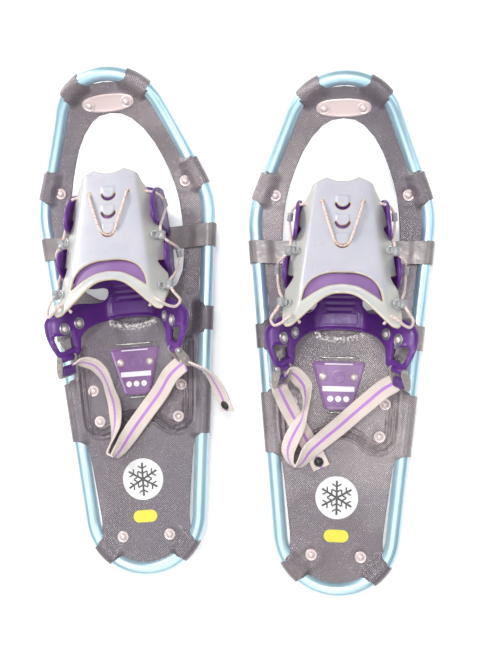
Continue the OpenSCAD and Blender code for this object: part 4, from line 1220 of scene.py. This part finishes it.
# Rows of place and direction across, from the anchor buckle by way of the fold to the adjuster buckle
STRAPS = {
    "left": [((-55, -135.5, 53), (0.5, 0.1, 0.8)), ((-50, -132, 49.5), (0.76, 0.25, 0.6)),
             ((-42, -132.5, 44), (0.67, 0.41, 0.62)), ((-35, -136, 39), (0.58, 0.48, 0.66)),
             ((-29.5, -144, 33), (0.51, 0.5, 0.7)), ((-26.5, -153, 28), (0.5, 0.43, 0.75)),
             ((-24.5, -165, 22.5), (0.6, 0.37, 0.71)), ((-23, -177, 17.5), (0.77, 0.27, 0.58)),
             ((-23, -189, 14.5), (0.82, 0.18, 0.54)), ((-24, -201, 13.5), (0.74, 0.18, 0.64)),
             ((-27, -213, 14), (0.48, 0.12, 0.87)), ((-30.5, -223, 14.5), (0.2, 0.03, 0.98)),
             ((-32, -231, 14.5), (0, 0.1, 1)), ((-27, -236, 14.5), (-0.1, 0.3, 0.95)),
             ((-20, -228, 13.5), (-0.25, 0.6, 0.75)), ((-12, -217, 12), (-0.58, 0.62, 0.52)),
             ((-4, -207, 12.5), (-0.67, 0.69, 0.29)), ((13, -188, 16), (-0.7, 0.71, 0.1)),
             ((30, -170, 23), (-0.73, 0.69, 0)), ((44, -153, 32), (-0.8, 0.59, -0.09)),
             ((57, -144, 41.5), (-0.72, 0.6, -0.35)), ((64, -141, 49), (-0.66, 0.35, -0.66))],
    "right": [((-56, -137, 53), (0.3, 0.2, 0.9)), ((-54, -132, 49.5), (0.43, 0.45, 0.78)),
              ((-48, -132, 44), (0.38, 0.6, 0.7)), ((-41, -138, 38), (0.33, 0.66, 0.67)),
              ((-36, -145, 33), (0.32, 0.68, 0.66)), ((-34, -154, 30), (0.32, 0.52, 0.78)),
              ((-34, -165, 27.5), (0.29, 0.27, 0.92)), ((-36, -176, 24), (0.35, 0.02, 0.94)),
              ((-39, -184, 19), (0.58, -0.22, 0.79)), ((-43.5, -192, 15), (0.76, -0.28, 0.58)),
              ((-48.5, -202, 13), (0.84, -0.25, 0.48)), ((-51.5, -211, 13.5), (0.8, -0.17, 0.57)),
              ((-51.5, -219, 14.5), (0.62, -0.07, 0.78)), ((-49, -226.5, 14.5), (0.36, 0.07, 0.93)),
              ((-44.5, -231, 14.5), (0.08, 0.17, 0.98)), ((-37.5, -226, 13.5), (-0.22, 0.55, 0.8)),
              ((-29.5, -214.5, 12.5), (-0.5, 0.7, 0.5)), ((-15, -201, 12.5), (-0.61, 0.75, 0.25)),
              ((1, -187, 15), (-0.68, 0.72, 0.1)), ((17, -172, 20), (-0.67, 0.74, 0)),
              ((32, -158, 28), (-0.63, 0.77, -0.05)), ((44, -147, 36), (-0.55, 0.8, -0.2)),
              ((53, -141, 44), (-0.55, 0.66, -0.5)), ((57, -138, 49.5), (-0.57, 0.4, -0.7))],
}
TAILS = {
    "left": [((70, -142.5, 56), (0.3, 0, 0.95)), ((77, -146, 55.5), (0.3, 0, 0.95)),
             ((85, -151, 49.5), (0.28, 0.05, 0.96)), ((89.5, -157, 44), (0.4, 0.18, 0.9)),
             ((94, -167, 38), (0.53, 0.26, 0.8)), ((98.5, -181, 31), (0.6, 0.34, 0.73)),
             ((102, -195, 26), (0.61, 0.3, 0.74))],
    "right": [((-61.5, -143, 51), (0.7, 0.28, 0.65)), ((-60, -149, 46), (0.72, 0.31, 0.62)),
              ((-57, -157, 34), (0.76, 0.4, 0.51)), ((-52, -168.5, 22), (0.78, 0.57, 0.25)),
              ((-45, -182, 11), (0.76, 0.64, 0.12)), ((-37, -196, 6.2), (0.72, 0.69, 0)),
              ((-29, -209, 5.2), (0.75, 0.66, 0)), ((-22, -221, 5.2), (0.79, 0.62, 0)),
              ((-16.5, -232, 5.2), (0.81, 0.59, 0))],
}
# Row at which each heel strap is folded, so that it is made as two pieces
FOLD_ROW = {"left": 13, "right": 14}
# Two places for each webbing piece, given to blend, which does not read them: place near the binding's side
# and place at the buckle
STRAP_HOLDS = {
    "left": {"anchor": ((-35, -138, 39), (-50, -132, 49)), "adjuster": ((44, -153, 32), (60, -142, 45)),
             "tail": ((90, -158, 44), (78, -146, 55))},
    "right": {"anchor": ((38, -152, 32), (53, -141, 44)), "adjuster": ((-41, -138, 38), (-53, -132, 48)),
              "tail": ((-54, -164, 26), (-59, -151, 42))},
}


def band_section():
    """Flat webbing: a slightly crowned face and a thick selvage at each side."""
    a = np.linspace(-1, 1, 15)
    top = np.stack([a * (STRAP_W / 2 - 0.35), STRAP_T / 2 + 0.18 * hump(np.abs(a) - 0.93, 0.06)], 1)
    side = np.array([(STRAP_W / 2, 0.35), (STRAP_W / 2, -0.35)])
    return np.vstack([top, side, (top * [1, -1])[::-1], side[::-1] * [-1, 1]])


def band(rows):
    """Webbing along rows of place and direction across."""
    both = curve([(*p, *(np.array(a) * 30)) for p, a in rows], 1.6)
    path = both[:, :3]
    t = headings(path)
    across = both[:, 3:]
    across = unit(across - (across * t).sum(1)[:, None] * t)
    normal = np.cross(t, across)
    s = band_section()
    return grid_part(rings_along(path, s, across, normal), np.append(s[:, 0], s[0, 0]), running(path))


STUD = [(5.1, -0.3), (5.2, 0.6), (4.7, 1.2), (4.0, 1.1), (3.4, 1.5), (2.6, 2.5), (1.5, 3.0), (0, 3.1)]
STUD_IN = 7.0          # from the tail's end to the stud's centre


def snap(rows):
    """Press stud near the tail's end."""
    end, before = np.array(rows[-1][0], float), np.array(rows[-2][0], float)
    d = unit(end - before)
    n = unit(np.cross(rows[-1][1], d))
    n = -n if n[2] < 0 else n
    return lathe(STUD, 32).moved(axis_frame(end - STUD_IN * d + n * STRAP_T / 2, n, (0, 0.3, 1)))


HINGE_W = 25.6
HINGE_WRAP = (100, -140)       # degrees round the tube, from its top outwards
HINGE_TWIST = (54, 76)         # meant as where it stops following the binding and where it lies still; blend does not read them


def hinge_strap():
    """One side of the hinge strap: out from under the base, over the tube and round below it."""
    centre_x = np.interp(0, CENTRE[::-1, 1], CENTRE[::-1, 0])
    wrap = np.radians(np.linspace(*HINGE_WRAP, 26))
    r = TUBE_R + 1.1
    round_tube = np.stack([centre_x + r * np.cos(wrap), r * np.sin(wrap)], 1)
    inner = curve([(38, 4.4), (50, 4.4), (62, 4.6), (72, 5.6), (79, 7.4), tuple(round_tube[0])], 1.5)
    line = np.vstack([inner[:-1], round_tube])
    path = np.stack([line[:, 0], np.zeros(len(line)), line[:, 1]], 1)
    t = headings(path)
    normal = unit(np.cross(t, (0, 1, 0)))
    # outwards where the strap is on the tube, upwards elsewhere
    outwards = normal[:, 0] * (line[:, 0] - centre_x) + normal[:, 2] * line[:, 1]
    facing = np.where(line[:, 0] > centre_x - 8, outwards, normal[:, 2])
    normal = normal * np.where(facing < 0, -1, 1)[:, None]
    run = running(path)
    half_t = np.interp(run, [0, 30, 45, 60], [1.3, 1.3, 1.0, 0.9])
    a = np.linspace(-1, 1, 19)
    w = HINGE_W / 2
    top = np.stack([a * (w - 0.3), np.ones(19)], 1)
    side = np.array([(w, 0.4), (w, -0.4)])
    s = np.vstack([top, side, (top * [1, -1])[::-1], side[::-1] * [-1, 1]])
    shear = np.tan(SIDE_A) * np.clip((line[:, 0] - 60) / 20, 0, 1)
    along = np.stack([-shear, np.ones(len(path)), 0 * shear], 1)
    rings = rings_along(path, s, along, half_t[:, None] * normal)
    return grid_part(rings, np.append(s[:, 0], s[0, 0]), run + 38)


# ---------------------------------------------------------------- putting pieces in place

def shoe_matrix(side):
    """From a shoe's own millimetres to the row frame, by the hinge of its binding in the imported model."""
    j = next(j for j in frame["joints"] if j["name"] == side + "_binding_pivot")
    yaw = math.atan2(-j["axis"][1], -j["axis"][0])
    x, y, z = j["pos_m"]
    return Matrix.Translation((x, y, z - PIVOT_Z * MM)) @ Matrix.Rotation(yaw, 4, "Z") @ Matrix.Scale(MM, 4)


def make(name, part, material, sharp):
    """A mesh object of a piece, smooth but for the edges sharper than sharp degrees."""
    mesh = bpy.data.meshes.new(name)
    mesh.from_pydata(part.v.tolist(), [], part.faces)
    uv = mesh.uv_layers.new(name="mm")
    uv.data.foreach_set("uv", np.array([c for face in part.uvs for c in face], float).ravel())
    mesh.polygons.foreach_set("use_smooth", [True] * len(mesh.polygons))
    mesh.set_sharp_from_angle(angle=math.radians(sharp))
    mesh.materials.append(material)
    o = bpy.data.objects.new(name, mesh)
    bpy.context.scene.collection.objects.link(o)
    return o


def ride(side, name, part, material, body, node, sharp=38):
    """Adds a piece of one shoe, which rides on one of that shoe's bodies and stands for a CAD node."""
    o = make(f"{side}_{name}", part, material, sharp)
    o.data.transform(shoe_matrix(side))
    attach(o, f"{side}_{body}")
    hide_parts(f"{side}_{node}")
    return o


def blend(side, name, part, material, bodies, hold, slot, *nodes):
    """Adds a piece of one shoe in place of CAD nodes, fixed where it lies; bodies and hold are not used."""
    o = make(f"{side}_{name}", part, material, 60)
    o.data.transform(shoe_matrix(side))
    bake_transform(o)
    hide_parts(*[f"{side}_{node}" for node in nodes])


def repaint(side, name, material):
    """Gives a CAD node that stays in sight a better material."""
    for slot in frame["nodes"][f"{side}_{name}"].material_slots:
        slot.material = material


# ---------------------------------------------------------------- the two shoes

def buckles(side, m):
    """Both buckles and their levers; the adjuster sits on the foot's outer side."""
    for k, name in enumerate(("adjuster", "anchor")):
        turn = TURNS[side][k]
        yoke, cam = buckle(turn), lever(turn, 1 if k == 0 else -1)
        if (side == "left") == (name == "anchor"):
            yoke, cam = yoke.mirror(), cam.mirror()
        ride(side, name + "_yoke", yoke, m["taupe"], name + "_buckle", name + "_buckle")
        ride(side, name + "_cam", cam, m["lever"], name + "_lever", name + "_lever")


def straps(side, m):
    """The heel strap in two pieces with its free tail, and the tail's stud."""
    rows, tail, fold = STRAPS[side], TAILS[side], FOLD_ROW[side]
    first, second = ("anchor", "adjuster") if side == "left" else ("adjuster", "anchor")
    pieces = {first: band(rows[:fold + 1]), second: band(rows[fold:]), "tail": band(tail)}
    for name, part in pieces.items():
        bodies = ("binding", ("adjuster" if name == "tail" else name) + "_buckle")
        hold = STRAP_HOLDS[side][name]
        blend(side, "webbing_" + name, part, m["webbing"], bodies, hold, "webbing", "heel_strap")
    ride(side, "stud", snap(tail), m["snap"], "binding", "strap_snap")


def hinge_bands(side, m):
    """Both sides of the hinge strap, between the binding and the frame, fixed where they lie."""
    for name, sign, part in (("a", 1, PARTS["hinge_strap"]), ("b", -1, PARTS["hinge_strap"].mirror())):
        twist = [(sign * x, 0, PIVOT_Z) for x in HINGE_TWIST]
        blend(side, "hinge_band_" + name, part, m["band"], ("binding", "frame"), twist, "deck",
              "strap_ends", "strap_centre")


LACE_PATH = lace_path()
PARTS = {
    "tube": frame_tube(),
    "deck": deck(),
    "nose_plate": nose_plate(),
    "nose_rivets": turned(DECK_RIVET, [(20.3, 144.6)], DECK_TOP + 1.6),
    "deck_rivets": turned(DECK_RIVET, RIVETS, DECK_TOP + 0.55),
    "heel_plate": heel_plate(),
    "heel_rivets": turned(DOME_RIVET, [(16.6, -134.7)], DECK_TOP + 1.9),
    "bars": plate_bars(),
    "base": binding_base(),
    "cover": cover(),
    "tongue": tongue(),
    "lace": lace(LACE_PATH),
    "guides": guides(),
    "ferrules": ferrules(),
    "washers": wing_turned(WASHER, 2.0),
    "wing_studs": wing_turned(WING_DOME, 2.6),
    "pins": pins(),
    "hinge_strap": hinge_strap(),
}
MATERIALS = {
    "tube": tube_paint(),
    "deck": deck_cloth(),
    "nose": metal("badge_metal", (0.76, 0.62, 0.61), 0.36, (40, 1, 1), (0.66, 0.53, 0.52), 0.6),
    "rivet": metal("rivet_metal", (0.80, 0.69, 0.68), 0.4, tint=(0.66, 0.56, 0.55), metal_share=0.45),
    "steel": metal("wire_metal", (0.72, 0.70, 0.66), 0.3),
    "heel": heel_gloss(),
    "plum": moulded("plum_satin", (0.092, 0.016, 0.19), (0.125, 0.028, 0.24), 0.36, coat=0.04).m,
    "lever": moulded("lever_satin", (0.085, 0.03, 0.17), (0.12, 0.05, 0.22), 0.36).m,
    "tongue": moulded("tongue_satin", (0.20, 0.095, 0.28), (0.26, 0.14, 0.345), 0.4).m,
    "cover": cover_plastic(),
    "cord": twisted_cord(),
    "clear": clear_plastic(),
    "washer": metal("washer_metal", (0.46, 0.46, 0.47), 0.38),
    "taupe": moulded("taupe_satin", (0.27, 0.235, 0.22), (0.36, 0.32, 0.30), 0.34).m,
    "webbing": webbing_cloth(),
    "snap": moulded("snap_black", (0.012, 0.012, 0.013), (0.03, 0.03, 0.032), 0.35).m,
    "band": band_rubber(),
    "claw": metal("claw_steel", (0.42, 0.42, 0.43), 0.34, (1, 6, 1)),
    "clip": metal("clip_metal", (0.50, 0.46, 0.42), 0.3),
}
# Pieces that stand for a CAD node: name, part, material, body, node, slot and the angle that stays sharp
PIECES = [
    ("tube", "tube", "tube", "frame", "frame_tube", "tube", 60),
    ("deck_sheet", "deck", "deck", "frame", "deck", "deck", 60),
    ("nose_badge", "nose_plate", "nose", "frame", "nose_plate", "steel", 38),
    ("nose_studs", "nose_rivets", "rivet", "frame", "nose_rivets", "rivet", 38),
    ("deck_studs", "deck_rivets", "rivet", "frame", "deck_rivets", "rivet", 38),
    ("heel_pad", "heel_plate", "heel", "frame", "heel_plate", "heel_plate", 38),
    ("heel_pad_studs", "heel_rivets", "rivet", "frame", "heel_plate_rivets", "rivet", 38),
    ("wire_bars", "bars", "steel", "frame", "plate_bars", "steel", 38),
    ("hull", "base", "plum", "binding", "binding_base", "plum", 50),
    ("toe_cover", "cover", "cover", "binding", "top_cover", "cover", 50),
    ("tongue", "tongue", "tongue", "binding", "inner_tongue", "tongue", 38),
    ("lacing", "lace", "cord", "binding", "lace", "cord", 80),
    ("lace_guides", "guides", "clear", "binding", "cord_guides", "clear", 38),
    ("lace_ferrules", "ferrules", "clear", "binding", "cord_ferrules", "clear", 38),
    ("wing_rings", "washers", "washer", "binding", "wing_washers", "steel", 38),
    ("wing_studs", "wing_studs", "rivet", "binding", "wing_rivets", "rivet", 38),
    ("pivot_pins", "pins", "washer", "binding", "buckle_pins", "rivet", 38),
]
# CAD nodes that stay in sight, with their material
REPAINTED = {"heel_crampon": "claw", "toe_crampon": "claw", "crampon_bolts": "claw", "wing_clips": "clip"}

for side in SIDES:
    for name, part, material, body, node, slot, sharp in PIECES:
        ride(side, name, PARTS[part], MATERIALS[material], body, node, sharp)
    deck_area()
    buckles(side, MATERIALS)
    straps(side, MATERIALS)
    hinge_bands(side, MATERIALS)
    for node, material in REPAINTED.items():
        repaint(side, node, MATERIALS[material])


# ---------------------------------------------------------------- camera, light and floor

LENS = 25.3
CAMERA_AT = (0.09762, -0.05080, 0.78768)
CAMERA_TURN = (4.301, 5.779, 0.409)    # degrees


def camera():
    """The camera looks almost straight down, from above the right shoe."""
    cam = bpy.data.cameras.new("camera")
    o = bpy.data.objects.new("camera", cam)
    bpy.context.scene.collection.objects.link(o)
    cam.sensor_fit = "VERTICAL"
    cam.sensor_height = 24
    cam.lens = LENS
    cam.clip_start = 0.01
    cam.clip_end = 20
    o.location = CAMERA_AT
    o.rotation_euler = [math.radians(a) for a in CAMERA_TURN]
    bpy.context.scene.camera = o


# Soft lights: place, what it looks at, size, power and colour
LIGHTS = {
    "flash": ((0.05, 0.16, 1.0), (0.03, 0, 0), (0.12, 0.12), 2.6, (1, 1, 1)),
    "key": ((-1.1, 0.8, 0.9), (0, 0, 0), (0.3, 0.3), 14, (1.0, 0.985, 0.96)),
    "fill": ((1.4, 0.3, 1.2), (0, 0, 0), (0.4, 1.4), 5, (0.95, 0.975, 1.0)),
    "back": ((0.0, -1.6, 1.0), (0, 0, 0), (1.4, 0.4), 3.5, (1.0, 0.98, 0.96)),
    "top": ((-0.25, -0.4, 2.0), (-0.1, -0.1, 0), (2.2, 2.6), 25, (1, 1, 1)),
}
SKY_COLOR, SKY_STRENGTH = (0.95, 0.97, 1.0, 1), 0.33
FLOOR_HALF = 4.0


def studio():
    """Lights, sky and floor."""
    for name, (at, look, size, power, color) in LIGHTS.items():
        light = bpy.data.lights.new(name, "AREA")
        light.shape = "RECTANGLE"
        light.size, light.size_y = size
        light.energy = power
        light.color = color
        o = bpy.data.objects.new(name, light)
        bpy.context.scene.collection.objects.link(o)
        o.location = at
        o.rotation_euler = (Vector(look) - Vector(at)).to_track_quat("-Z", "Y").to_euler()
    world = bpy.data.worlds.new("studio")
    world.use_nodes = True
    sky = world.node_tree.nodes["Background"].inputs
    sky[0].default_value = SKY_COLOR
    sky[1].default_value = SKY_STRENGTH
    bpy.context.scene.world = world
    mesh = bpy.data.meshes.new("floor")
    corners = [(x * FLOOR_HALF, y * FLOOR_HALF, 0) for x, y in ((-1, -1), (1, -1), (1, 1), (-1, 1))]
    mesh.from_pydata(corners, [], [(0, 1, 2, 3)])
    floor = bpy.data.objects.new("floor", mesh)
    bpy.context.scene.collection.objects.link(floor)
    paper = Shader("paper", (0.95, 0.95, 0.95), 0.9, Emission_Color=(1, 1, 1, 1), Emission_Strength=0.28)
    mesh.materials.append(paper.m)


camera()
studio()
bpy.context.scene.view_settings.view_transform = "Standard"
